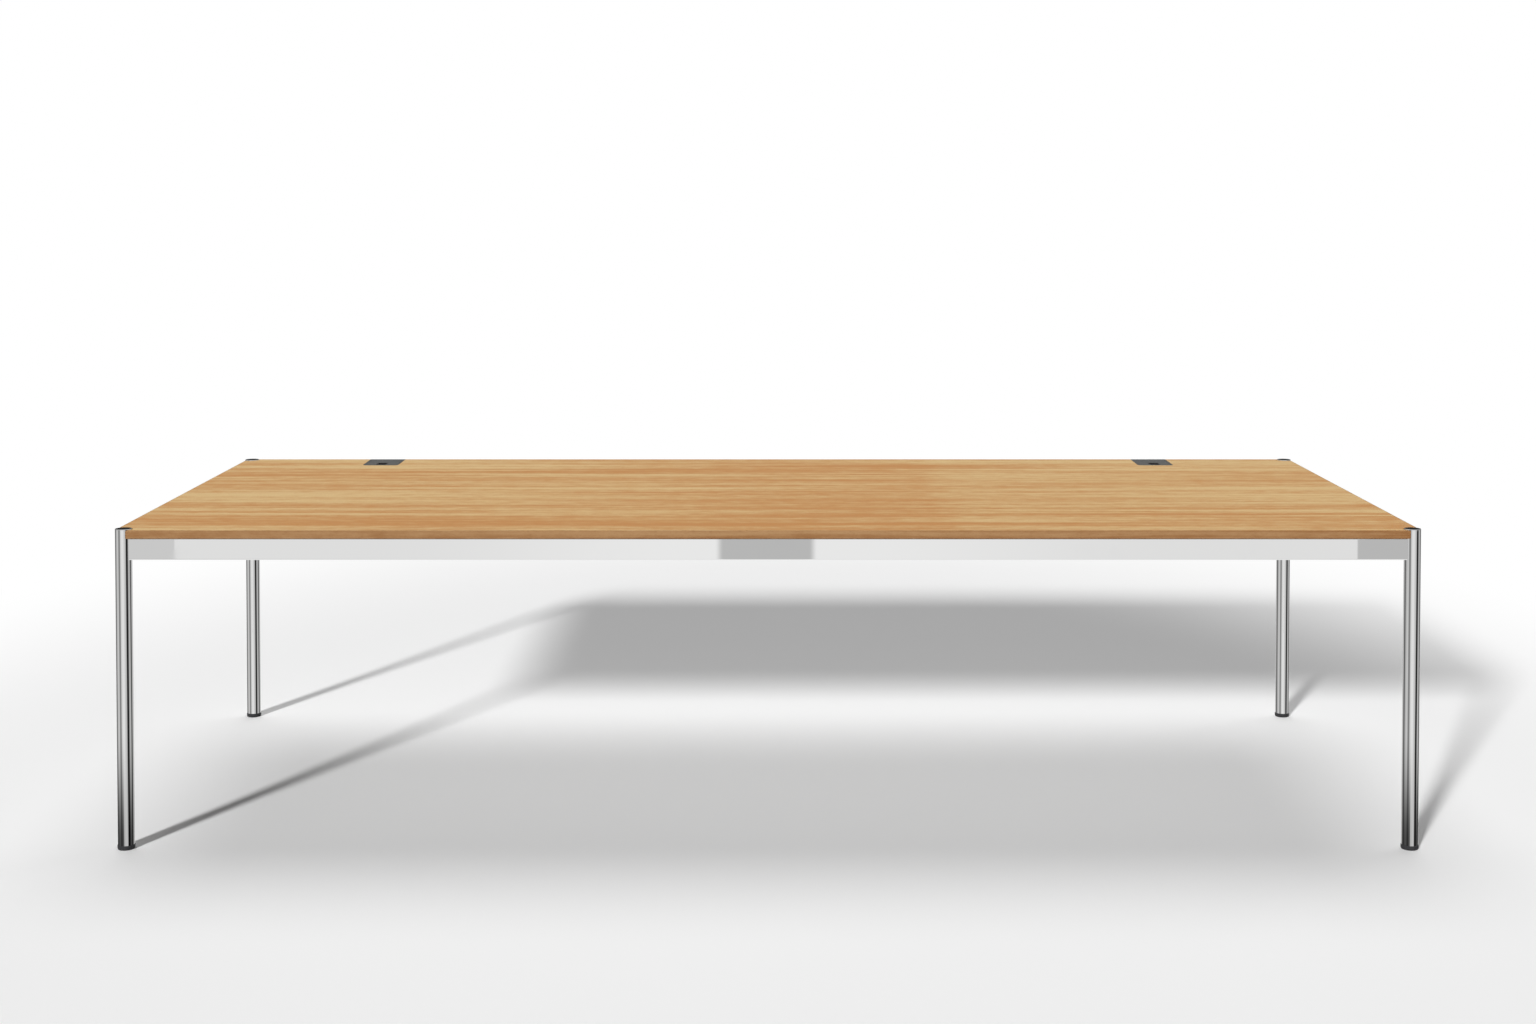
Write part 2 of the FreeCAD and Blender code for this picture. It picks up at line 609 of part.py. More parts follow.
def cross_bar_plate():
    """A cross bar's end plate, flat on the inside of a long rail."""
    depth = (RAIL_INSIDE, RAIL_INSIDE + PLATE_THICKNESS)
    height = (RAIL_TOP - CROSS_BAR_HEIGHT, RAIL_TOP)
    plate = block(both_ways(PLATE_LENGTH / 2), depth, height)
    plate = plate.makeFillet(PLATE_ROUND, edges_along(plate, ACROSS))
    for x in both_ways(PLATE_BOLT_SPACING / 2):
        start = Vector(x, RAIL_INSIDE, CROSS_BAR_Z)
        plate = plate.cut(rod(PLATE_BOLT_DIAMETER / 2 + FIXED_GAP, start, PLATE_THICKNESS, ACROSS))
    return plate


def cross_bar():
    """A tube under the board from one end plate to the other, round the rail's own X axis."""
    half_length = LEG_Y - RAIL_INSIDE - PLATE_THICKNESS
    section = (CROSS_BAR_WIDTH, CROSS_BAR_HEIGHT, CROSS_BAR_WALL, CROSS_BAR_ROUND)
    return placed(hollow_bar(both_ways(half_length), *section), UP * CROSS_BAR_Z, QUARTER_DEGREES)


def board_clip():
    """An angle clip between a rail's inner face and the board's underside."""
    length = both_ways(CLIP_LENGTH / 2)
    drop = block(length, (RAIL_INSIDE, RAIL_INSIDE + CLIP_THICKNESS), (RAIL_TOP - CLIP_DROP, RAIL_TOP))
    reach = block(length, (RAIL_INSIDE, RAIL_INSIDE + CLIP_REACH), (RAIL_TOP - CLIP_THICKNESS, RAIL_TOP))
    radius = SCREW_DIAMETER / 2 + FIXED_GAP
    board_hole = rod(radius, board_screw_seat(), CLIP_THICKNESS)
    rail_hole = rod(radius, rail_screw_seat(), CLIP_THICKNESS, -ACROSS)
    return drop.fuse(reach).removeSplitter().cut([board_hole, rail_hole])


def frame_nodes():
    """The rails and what joins them to the legs, to each other and to the board."""
    nodes = {}
    for name, (origin, heading, span) in RAILS.items():
        nodes[name] = placed(rail(span), origin, heading)
    start, heading, span = RAILS["rail_front"]
    for name, share in zip(("left", "middle", "right"), CROSS_BAR_SHARES):
        middle = Vector(start.x + share * span, 0, RAIL_CENTRE_Z)
        nodes[f"cross_bar_{name}"] = placed(cross_bar(), middle)
    board_screw = driven(wood_screw(BOARD_SCREW_LENGTH), board_screw_seat(), UP)
    clip_rail_screw = driven(wood_screw(RAIL_SCREW_LENGTH), rail_screw_seat(), -ACROSS)
    groups = {
        "rail_end_plugs": at_each_rail_end(rail_end_plug()),
        "draw_bolts": at_each_rail_end(draw_bolt()),
        "rail_set_screws": at_each_rail_end(rail_set_screw()),
        "leg_nut_bars": at_each_rail_end(leg_nut_bar()),
        "cross_bar_plates": on_each_rail(cross_bar_plate(), cross_bar_places),
        "cross_bar_bolts": on_each_rail(plate_bolt(), plate_bolt_places),
        "rivet_nuts": on_each_rail(rivet_nut(), plate_bolt_places),
        "board_clips": on_each_rail(board_clip(), clip_places),
        "board_screws": on_each_rail(board_screw, clip_places),
        "clip_rail_screws": on_each_rail(clip_rail_screw, clip_places),
    }
    for name, copies in groups.items():
        nodes[name] = Part.makeCompound(copies)
    return nodes


def cross_bar_places(span):
    """How far along a rail each cross bar stands."""
    return [share * span for share in CROSS_BAR_SHARES] if span == LONG_SPAN else []


def port_tray():
    """A port's flange, its collar through the board and the recess and ledge for its lid."""
    flange = front_rounded(PORT_WIDTH / 2, (-PORT_DEPTH, 0), (-PORT_FLANGE_THICKNESS, 0), PORT_ROUND)
    flange = flange.makeFillet(PORT_FLANGE_ROUND, edges_at_height(flange, 0))
    bottom = PORT_LIFT - BOARD_THICKNESS
    collar_range = (bottom, -PORT_FLANGE_THICKNESS)
    collar = front_rounded(COLLAR_HALF_WIDTH, (-COLLAR_DEPTH, 0), collar_range, COLLAR_ROUND)
    recess_range = (-LID_THICKNESS, CUT_OVERRUN)
    recess = front_rounded(RECESS_HALF_WIDTH, (-RECESS_DEPTH, HINGE_Y), recess_range, RECESS_ROUND)
    hinge_range = (HINGE_Y - HINGE_SWEEP, HINGE_Y + HINGE_SWEEP)
    hinge_pocket = block(both_ways(RECESS_HALF_WIDTH), hinge_range, (HINGE_Z - HINGE_SWEEP, CUT_OVERRUN))
    well_range = (-WELL_DEPTH, hinge_range[0] - LEDGE_WIDTH)
    well = front_rounded(WELL_HALF_WIDTH, well_range, (bottom - CUT_OVERRUN, CUT_OVERRUN), WELL_ROUND)
    pin_hole_start = Vector(-PORT_WIDTH / 2, HINGE_Y, HINGE_Z)
    pin_hole = rod(HINGE_PIN_RADIUS + RUNNING_GAP, pin_hole_start, PORT_WIDTH, ALONG)
    return flange.fuse(collar).cut([recess, hinge_pocket, well, pin_hole] + port_screw_holes())


def lid_hole(margin, z_range):
    """A block through the lid, as large as its hole and a margin on every side."""
    middle = LID_HOLE_SETBACK + LID_HOLE_DEPTH / 2 - PORT_DEPTH
    y_range = (middle - LID_HOLE_DEPTH / 2 - margin, middle + LID_HOLE_DEPTH / 2 + margin)
    hole = block(both_ways(LID_HOLE_WIDTH / 2 + margin), y_range, z_range)
    return hole.makeFillet(LID_HOLE_ROUND + margin, edges_along(hole, UP))


def port_lid():
    """A port's lid, on a knuckle along its rear edge."""
    plate_range = (LID_GAP - RECESS_DEPTH, HINGE_Y)
    plate = front_rounded(LID_HALF_WIDTH, plate_range, (-LID_THICKNESS, 0), RECESS_ROUND - LID_GAP)
    rim = [e for e in edges_at_height(plate, 0) if e.CenterOfMass.y < HINGE_Y - LID_GAP]
    plate = plate.makeFillet(LID_ROUND, rim)
    axis_start = Vector(-LID_HALF_WIDTH, HINGE_Y, HINGE_Z)
    knuckle = rod(HINGE_KNUCKLE_RADIUS, axis_start, 2 * LID_HALF_WIDTH, ALONG)
    bore = rod(HINGE_PIN_RADIUS + RUNNING_GAP, axis_start, 2 * LID_HALF_WIDTH, ALONG)
    hole = lid_hole(0, (-LID_THICKNESS - CUT_OVERRUN, CUT_OVERRUN))
    lip_seat = lid_hole(GROMMET_LIP + FIXED_GAP, (-GROMMET_LIP_HEIGHT, CUT_OVERRUN))
    return plate.fuse(knuckle).cut([bore, hole, lip_seat])


def lid_grommet():
    """The soft ring in a lid's hole, with a lip flush with the lid and one below it."""
    bottom = -LID_THICKNESS - GROMMET_LIP_HEIGHT
    sleeve = lid_hole(-FIXED_GAP, (bottom, 0))
    lower_lip = lid_hole(GROMMET_LIP, (bottom, -LID_THICKNESS))
    upper_lip = lid_hole(GROMMET_LIP, (-GROMMET_LIP_HEIGHT, 0))
    upper_lip = upper_lip.makeFillet(GROMMET_ROUND, edges_at_height(upper_lip, 0))
    ring = sleeve.fuse([lower_lip, upper_lip])
    return ring.cut(lid_hole(-GROMMET_WALL, (bottom - CUT_OVERRUN, CUT_OVERRUN)))


def hinge_pin():
    """The rod that the lid's knuckle turns on."""
    start = Vector(-COLLAR_HALF_WIDTH, HINGE_Y, HINGE_Z)
    return rod(HINGE_PIN_RADIUS, start, 2 * COLLAR_HALF_WIDTH, ALONG)


def port_nodes():
    """The pieces of the two cable ports."""
    makers = {
        "port_tray": port_tray,
        "port_lid": port_lid,
        "lid_grommet": lid_grommet,
        "hinge_pin": hinge_pin,
    }
    nodes = {}
    for name, maker in makers.items():
        for side in SIDES:
            nodes[f"{name}_{side}"] = placed(maker(), port_origin(side))
    screws = [placed(screw, port_origin(side)) for side in SIDES for screw in port_screws()]
    nodes["port_screws"] = Part.makeCompound(screws)
    return nodes


def main():
    """Makes every node and writes it to its own file."""
    os.makedirs("parts", exist_ok=True)
    nodes = {**board_nodes(), **leg_nodes(), **frame_nodes(), **port_nodes()}
    for name, shape in nodes.items():
        shape.exportStep(f"parts/{name}.step")
    print(len(nodes), "nodes,", sum(len(shape.Solids) for shape in nodes.values()), "solids")


main()
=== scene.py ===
import json
import math

import bmesh
import bpy
from bpy.props import FloatProperty, FloatVectorProperty, IntProperty, PointerProperty
from mathutils import Matrix, Vector


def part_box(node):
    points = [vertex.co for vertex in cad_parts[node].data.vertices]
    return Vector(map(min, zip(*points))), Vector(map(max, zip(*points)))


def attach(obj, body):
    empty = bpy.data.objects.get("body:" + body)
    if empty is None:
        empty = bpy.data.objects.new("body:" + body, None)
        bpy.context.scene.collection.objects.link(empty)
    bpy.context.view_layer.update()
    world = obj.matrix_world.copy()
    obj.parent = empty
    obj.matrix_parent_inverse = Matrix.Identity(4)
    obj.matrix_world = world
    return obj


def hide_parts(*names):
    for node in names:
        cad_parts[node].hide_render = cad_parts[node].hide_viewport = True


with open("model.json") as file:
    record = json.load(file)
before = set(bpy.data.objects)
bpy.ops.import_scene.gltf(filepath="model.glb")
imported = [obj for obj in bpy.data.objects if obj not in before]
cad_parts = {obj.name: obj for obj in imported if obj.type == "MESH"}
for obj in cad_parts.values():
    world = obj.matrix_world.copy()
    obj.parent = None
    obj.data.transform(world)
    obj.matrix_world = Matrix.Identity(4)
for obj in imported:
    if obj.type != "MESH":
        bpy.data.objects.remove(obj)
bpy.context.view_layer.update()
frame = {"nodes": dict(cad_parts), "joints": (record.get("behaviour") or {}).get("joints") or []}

bl_info = {
    "name": "Modular Table",
    "version": (1, 0, 0),
    "blender": (4, 5, 0),
    "location": "3D View > Sidebar > Modular Table",
    "description": "Dresses the packed modular table and sets it in a pale studio",
    "category": "Object",
}

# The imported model
NODES = frame["nodes"]
CORNERS = [f"{end}_{side}" for end in ("front", "rear") for side in ("left", "right")]
JOINTS = {joint["name"]: joint for joint in frame["joints"]}

MILLIMETRE = 0.001
QUARTER_TURN = math.radians(90)
HEXAGON = 6
ROUND_STEPS = 6  # steps round a cap's rim
CROWN_STEPS = 8  # steps from a cap's rim to its middle
SHARP_DEGREES = 40  # edges that turn by more than this stay crisp
THREAD_SHARP_DEGREES = 60
THREAD_TIP = 1.5  # length of a stud's chamfered tip, in thread depths


# Pieces in mesh code


def leg_axis(corner):
    """Where a leg's axis meets the floor: the axis that its glide turns on."""
    x, y, _ = JOINTS[f"glide_turn_{corner}"]["pos_m"]
    return Vector((x, y, 0))


def round_radius(low, high):
    """The radius of an upright round piece from its box, to a tenth of a millimetre."""
    return round((high.x - low.x) / 2, 4)


def arc(centre, radius, start, end, steps):
    """Points on an arc in a radius and height plane, angles in degrees from outwards to up."""
    points = []
    for step in range(steps + 1):
        angle = math.radians(start + (end - start) * step / steps)
        points.append((centre[0] + radius * math.cos(angle), centre[1] + radius * math.sin(angle)))
    return points


def new_piece(name, mesh_source, place, sharp_degrees=SHARP_DEGREES):
    """An object at a place, made from a bmesh, smooth but for edges sharper than an angle."""
    bmesh.ops.recalc_face_normals(mesh_source, faces=mesh_source.faces)
    mesh = bpy.data.meshes.new(name)
    mesh_source.to_mesh(mesh)
    mesh_source.free()
    mesh.polygons.foreach_set("use_smooth", [True] * len(mesh.polygons))
    mesh.set_sharp_from_angle(angle=math.radians(sharp_degrees))
    mesh.transform(Matrix.Translation(place))
    piece = bpy.data.objects.new(name, mesh)
    bpy.context.collection.objects.link(piece)
    return piece


def turned(name, profile, place, segments, first_degrees=0):
    """A piece turned from a closed profile of (radius, height) points. A radius of 0 is a pole."""
    source = bmesh.new()
    rings = []
    for radius, height in profile:
        if radius == 0:
            rings.append([source.verts.new((0, 0, height))] * segments)
            continue
        turns = [math.radians(first_degrees) + math.tau * step / segments for step in range(segments)]
        rings.append([source.verts.new((radius * math.cos(t), radius * math.sin(t), height)) for t in turns])
    for ring, following in zip(rings, rings[1:] + rings[:1]):
        for step in range(segments):
            ahead = (step + 1) % segments
            corners = [ring[step], ring[ahead], following[ahead], following[step]]
            corners = list(dict.fromkeys(corners))
            if len(corners) > 2:
                source.faces.new(corners)
    return new_piece(name, source, place)


def each_corner(piece):
    """The four nodes of a piece that every corner has."""
    return [f"{piece}_{corner}" for corner in CORNERS]


def dress(material, *names):
    """Gives CAD nodes a material in their own material slots."""
    for name in names:
        for material_slot in NODES[name].material_slots:
            material_slot.material = material


def stand_in(piece, node, body, material):
    """Puts a made piece in a CAD node's place."""
    piece.data.materials.append(material)
    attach(piece, body)
    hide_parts(node)


# Shader trees


class Graph:
    """Adds nodes to one shader tree and joins them."""

    def __init__(self, tree):
        self.tree = tree
        tree.nodes.clear()

    def feed(self, socket, value):
        """Joins an output to a socket, or sets the socket to a value."""
        if isinstance(value, bpy.types.NodeSocket):
            self.tree.links.new(value, socket)
        else:
            socket.default_value = value

    def add(self, kind, feeds=None, **settings):
        """A new node. feeds gives its inputs, by name or number."""
        node = self.tree.nodes.new(kind)
        for name, value in settings.items():
            setattr(node, name, value)
        for name, value in (feeds or {}).items():
            self.feed(node.inputs[name], value)
        return node

    def math(self, operation, *values):
        """The result of a calculation."""
        return self.add("ShaderNodeMath", dict(enumerate(values)), operation=operation).outputs[0]

    def mixed(self, factor, first, second):
        """A value between two values."""
        return self.add("ShaderNodeMix", {0: factor, 2: first, 3: second}).outputs[0]

    def tinted(self, factor, first, second):
        """A colour between two colours."""
        feeds = {0: factor, 6: first, 7: second}
        return self.add("ShaderNodeMix", feeds, data_type="RGBA").outputs[2]

    def step(self, value, low, high):
        """A mask that rises smoothly from 0 at low to 1 at high."""
        feeds = {"Value": value, "From Min": low, "From Max": high}
        return self.add("ShaderNodeMapRange", feeds, interpolation_type="SMOOTHSTEP").outputs[0]

    def split(self, vector):
        """The three parts of a vector."""
        return self.add("ShaderNodeSeparateXYZ", {0: vector}).outputs

    def joined(self, x, y, z):
        """A vector from its three parts."""
        return self.add("ShaderNodeCombineXYZ", {0: x, 1: y, 2: z}).outputs[0]

    def noise(self, vector, scale, detail=2.0, roughness=0.5):
        """Soft noise between 0 and 1."""
        feeds = {"Vector": vector, "Scale": scale, "Detail": detail, "Roughness": roughness}
        return self.add("ShaderNodeTexNoise", feeds).outputs[0]

    def cells(self, vector, scale, feature="F1"):
        """The outputs of a pattern of cells."""
        feeds = {"Vector": vector, "Scale": scale}
        return self.add("ShaderNodeTexVoronoi", feeds, feature=feature).outputs

    def shared(self, effect, **feeds):
        """The outputs of a shared effect, placed here with its own values."""
        node = self.add("ShaderNodeGroup", node_tree=shared_group(effect))
        for name, value in feeds.items():
            self.feed(node.inputs[name.replace("_", " ").title()], value)
        return node.outputs

    def place(self):
        """The place on the piece, in metres, which stays with it when it moves."""
        return self.add("ShaderNodeTexCoord").outputs["Object"]

    def bump(self, height, depth):
        """A normal pushed by a height of up to a depth in metres."""
        feeds = {"Height": height, "Distance": depth, "Strength": 1.0}
        return self.add("ShaderNodeBump", feeds).outputs[0]

    def principled(self, colour, roughness, normal=None, metallic=0.0, specular=0.5):
        """The surface's own shader, joined to the material's output."""
        feeds = {"Base Color": colour, "Roughness": roughness, "Metallic": metallic}
        feeds["Specular IOR Level"] = specular
        if normal is not None:
            feeds["Normal"] = normal
        shader = self.add("ShaderNodeBsdfPrincipled", feeds)
        self.add("ShaderNodeOutputMaterial", {"Surface": shader.outputs[0]})


def shader_group(name, inputs, outputs):
    """An empty group with its named sockets, and the graph, inputs and outputs to fill it with."""
    group = bpy.data.node_groups.new(name, "ShaderNodeTree")
    for label, value in inputs.items():
        kind = "NodeSocketVector" if value is None else "NodeSocketFloat"
        socket = group.interface.new_socket(label, in_out="INPUT", socket_type=kind)
        if value is not None:
            socket.default_value = value
    for label in outputs:
        group.interface.new_socket(label, in_out="OUTPUT", socket_type="NodeSocketFloat")
    graph = Graph(group)
    given = graph.add("NodeGroupInput").outputs
    results = graph.add("NodeGroupOutput").inputs
    return graph, given, results


def new_material(name):
    """A material and the graph of its shader."""
    material = bpy.data.materials.new(name)
    material.use_nodes = True
    return material, Graph(material.node_tree)


def rgba(colour, share=1.0):
    """A property's colour, or a share of it, with full alpha."""
    return (*(Vector(colour) * share), 1.0)


def grey(level):
    """A grey with full alpha."""
    return (level, level, level, 1.0)


# Effects that several materials share


# Layers of the veneer's figure: scale along the grain and across it, then the noise's detail and roughness
WOOD_LAYERS = {
    "Tone": (0.55, 11.0, 2.0, 0.5),
    "Bands": (0.9, 34.0, 3.0, 0.6),
    "Streaks": (1.6, 110.0, 4.0, 0.65),
    "Fibres": (14.0, 800.0, 2.0, 0.6),
    "Mottle": (16.0, 38.0, 3.0, 0.7),
    "Lines": (0.7, 60.0, 2.0, 0.5),
    "Flecks": (150.0, 1100.0, 1.0, 0.5),
}
# Lines and flecks are the peaks of their layers: where they set in, and where they are full.
WOOD_PEAKS = {"Lines": (0.60, 0.78), "Flecks": (0.60, 0.70)}
# How much each of the other layers counts in the colour
WOOD_WEIGHTS = {"Tone": 2.4, "Bands": 1.9, "Streaks": 2.1, "Fibres": 1.0, "Mottle": 1.5}


def build_wood_figure(name):
    """Straight-grained veneer: slow tone, streaks, fibres and flecks. X of the vector is along the grain."""
    drift_scale = 1.1
    drift_width = 0.03
    leaf_shift = 7.0
    leaf_middle = 0.5
    leaf_spread = 0.10
    darkening_span = (0.4, 0.85)
    darkening_depth = 0.09
    joint_span = (1.0, 0.95)
    inputs = {"Vector": None, "Sheet Start": -1.5, "Sheet Length": 2.0, "Leaf Width": 0.25, "Seed": 0.0}
    graph, given, results = shader_group(name, inputs, WOOD_LAYERS)
    along, across, depth = graph.split(given["Vector"])
    across = graph.math("ADD", across, depth)
    sheet_end = graph.math("ADD", given["Sheet Start"], given["Sheet Length"])
    on_sheet = graph.math("WRAP", along, sheet_end, given["Sheet Start"])
    row = graph.math("ROUND", graph.math("DIVIDE", across, given["Leaf Width"]))
    row = graph.math("ADD", row, given["Seed"])
    row_tone = graph.add("ShaderNodeTexWhiteNoise", {"W": row}, noise_dimensions="1D").outputs["Value"]
    # The grain wanders a little, and each leaf has its own.
    drift = graph.noise(graph.joined(along, across, given["Seed"]), drift_scale)
    across = graph.math("MULTIPLY_ADD", drift, drift_width, across)
    shift = graph.math("MULTIPLY", row_tone, leaf_shift)
    layers = {}
    for label, (along_scale, across_scale, detail, roughness) in WOOD_LAYERS.items():
        stretched = graph.joined(
            graph.math("MULTIPLY_ADD", along, along_scale, shift),
            graph.math("MULTIPLY", across, across_scale),
            row,
        )
        layers[label] = graph.noise(stretched, 1.0, detail, roughness)
    # Each leaf has a tone of its own, each sheet darkens along its run, and its joint with the next is soft.
    off_middle = graph.math("SUBTRACT", row_tone, leaf_middle)
    leaf = graph.math("MULTIPLY_ADD", off_middle, leaf_spread, layers["Tone"])
    run = graph.math("SUBTRACT", on_sheet, given["Sheet Start"])
    share = graph.math("DIVIDE", run, given["Sheet Length"])
    darkening = graph.math("MULTIPLY", graph.step(share, *darkening_span), graph.step(share, *joint_span))
    layers["Tone"] = graph.math("MULTIPLY_ADD", darkening, -darkening_depth, leaf)
    for label, peak in WOOD_PEAKS.items():
        layers[label] = graph.step(layers[label], *peak)
    for label, layer in layers.items():
        graph.feed(results[label], layer)


def build_handling_marks(name):
    """The faint marks of hands and cloths on a bright surface."""
    smudge_span = (0.52, 0.75)
    wiping_squeeze = 6.0
    wiping_fineness = 8.0
    graph, given, results = shader_group(name, {"Vector": None, "Scale": 10.0}, ("Smudges", "Wiping"))
    smudges = graph.noise(given["Vector"], given["Scale"], detail=4.0, roughness=0.6)
    graph.feed(results["Smudges"], graph.step(smudges, *smudge_span))
    x, y, z = graph.split(given["Vector"])
    wiped = graph.joined(graph.math("ADD", x, z), graph.math("MULTIPLY", y, wiping_squeeze), z)
    wiping_scale = graph.math("MULTIPLY", given["Scale"], wiping_fineness)
    graph.feed(results["Wiping"], graph.noise(wiped, wiping_scale, detail=3.0, roughness=0.7))


def build_fine_grain(name):
    """A fine even texture, as moulds, powder coats and castings leave."""
    inputs = {"Vector": None, "Scale": 1500.0, "Clouds": 20.0}
    graph, given, results = shader_group(name, inputs, ("Grain", "Cloud"))
    graph.feed(results["Grain"], graph.noise(given["Vector"], given["Scale"]))
    graph.feed(results["Cloud"], graph.noise(given["Vector"], given["Clouds"], detail=3.0, roughness=0.6))


def build_specks(name):
    """Separate specks of dust, on faces that look up."""
    looking_up = (0.7, 0.95)
    graph, given, results = shader_group(name, {"Vector": None, "Scale": 300.0, "Size": 0.12}, ("Specks",))
    distance = graph.cells(given["Vector"], given["Scale"])["Distance"]
    near = graph.math("LESS_THAN", distance, given["Size"])
    facing = graph.split(graph.add("ShaderNodeNewGeometry").outputs["Normal"])[2]
    graph.feed(results["Specks"], graph.math("MULTIPLY", near, graph.step(facing, *looking_up)))


def build_crystals(name):
    """Grains of metal or wood pressed together, each with a tone of its own."""
    joint_width = 0.12
    graph, given, results = shader_group(name, {"Vector": None, "Scale": 200.0}, ("Tone", "Joint"))
    tones = graph.cells(given["Vector"], given["Scale"])["Color"]
    graph.feed(results["Tone"], graph.split(tones)[0])
    edges = graph.cells(given["Vector"], given["Scale"], "DISTANCE_TO_EDGE")["Distance"]
    graph.feed(results["Joint"], graph.step(edges, joint_width, 0.0))


EFFECTS = {
    "Wood Figure": build_wood_figure,
    "Handling Marks": build_handling_marks,
    "Fine Grain": build_fine_grain,
    "Dust Specks": build_specks,
    "Pressed Grains": build_crystals,
}


def shared_group(effect):
    """A shared effect's group, built the first time that a material asks for it."""
    if effect not in bpy.data.node_groups:
        EFFECTS[effect](effect)
    return bpy.data.node_groups[effect]


# Sizes and colours that a user would change


def colour_property(name, description, default):
    """A colour in the property group's own form."""
    limits = {"min": 0.0, "max": 1.0, "size": 3, "subtype": "COLOR"}
    return FloatVectorProperty(name=name, description=description, default=default, **limits)


def number_property(name, description, default):
    """A plain number that isn't below 0."""
    return FloatProperty(name=name, description=description, default=default, min=0.0)


def length_property(name, description, default):
    """A length in metres."""
    return FloatProperty(name=name, description=description, default=default, min=0.0, unit="LENGTH")


def angle_property(name, description, degrees):
    """An angle, given in degrees."""
    return FloatProperty(name=name, description=description, default=math.radians(degrees), unit="ROTATION")


def share_property(name, description, default):
    """A share between 0 and 1."""
    limits = {"min": 0.0, "max": 1.0, "subtype": "FACTOR"}
    return FloatProperty(name=name, description=description, default=default, **limits)


class BoardSettings(bpy.types.PropertyGroup):
    """The board's wood."""

    veneer_light: colour_property("Veneer light", "Lightest wood of the top", (0.711, 0.495, 0.2255))
    veneer_dark: colour_property("Veneer dark", "Darkest wood of the top", (0.529, 0.237, 0.0622))
    # The edge colours are darker than the top's partly as painted shade of the less lit front face, and
    # partly for the bands' slightly redder wood.
    shaded_edge_light: colour_property("Edge light", "Lightest wood of the edge bands", (0.284, 0.163, 0.074))
    shaded_edge_dark: colour_property("Edge dark", "Darkest wood of the edge bands", (0.190, 0.084, 0.0275))
    backing_light: colour_property("Backing light", "Lightest wood under the board", (0.240, 0.236, 0.228))
    backing_dark: colour_property("Backing dark", "Darkest wood under the board", (0.180, 0.176, 0.168))
    core_light: colour_property("Core light", "Palest chips of the core", (0.620, 0.450, 0.260))
    core_dark: colour_property("Core dark", "Darkest chips of the core", (0.300, 0.180, 0.090))
    sheet_start: length_property("Sheet start", "How far left of the middle the first sheet starts", 1.5)
    sheet_length: length_property("Sheet length", "Length of one sheet of veneer", 2.0)
    leaf_width: length_property("Leaf width", "Width of one leaf of veneer", 0.25)
    lacquer_roughness: share_property("Lacquer roughness", "Roughness of the matt lacquer", 0.48)
    backing_roughness: share_property("Backing roughness", "Roughness of the wood under the board", 0.68)


class MetalSettings(bpy.types.PropertyGroup):
    """The finishes of the metal pieces, and the sizes of those that the scene makes."""

    chrome: colour_property("Chrome", "Colour of the chrome plating", (0.930, 0.930, 0.925))
    chrome_roughness: share_property("Chrome roughness", "Roughness of clean chrome", 0.008)
    cap: colour_property("Cap", "Colour of the polished caps", (0.800, 0.800, 0.800))
    cap_roughness: share_property("Cap roughness", "Roughness of a clean cap", 0.048)
    zinc: colour_property("Zinc", "Colour of zinc plating", (0.660, 0.670, 0.665))
    cast_zinc: colour_property("Cast zinc", "Colour of the castings", (0.420, 0.425, 0.430))
    screw_steel: colour_property("Screw steel", "Colour of the bright screws", (0.620, 0.610, 0.590))
    black_steel: colour_property("Black steel", "Colour of the blackened steel", (0.030, 0.030, 0.032))
    silver_paint: colour_property("Silver paint", "Colour of the painted cross bars", (0.470, 0.475, 0.480))
    cap_round: length_property("Cap round", "Radius of a cap's rim", 0.8 * MILLIMETRE)
    cap_crown: length_property("Cap crown", "How far a cap's middle rises", 0.15 * MILLIMETRE)
    spigot_wall: length_property("Spigot wall", "Wall of a cap's hollow spigot", 2.5 * MILLIMETRE)
    spigot_play: length_property("Spigot play", "Gap round a cap's spigot in its tube", 0.1 * MILLIMETRE)
    tube_wall: length_property("Tube wall", "Wall of a leg's tube", 2.0 * MILLIMETRE)
    tube_chamfer: length_property("Tube chamfer", "Broken edge of a leg's tube", 0.3 * MILLIMETRE)
    stud_radius: length_property("Stud radius", "Radius of a glide's stud", 5.0 * MILLIMETRE)
    stud_head: length_property("Stud head", "Height of a glide's hexagonal head", 6.0 * MILLIMETRE)
    thread_pitch: length_property("Thread pitch", "Pitch of a glide's thread", 1.5 * MILLIMETRE)
    thread_depth: length_property("Thread depth", "Depth of a glide's thread", 0.9 * MILLIMETRE)
    turned_segments: IntProperty(name="Segments", description="Sides of a turned piece", default=128, min=12)


class PlasticSettings(bpy.types.PropertyGroup):
    """The finishes of the moulded pieces."""

    graphite: colour_property("Graphite", "Colour of the cable ports", (0.052, 0.053, 0.051))
    nylon: colour_property("Nylon", "Colour of the glide pads", (0.024, 0.024, 0.026))
    rubber: colour_property("Rubber", "Colour of the soles and grommets", (0.012, 0.012, 0.012))
    dust: colour_property("Dust", "Colour of the specks of dust", (0.400, 0.400, 0.395))


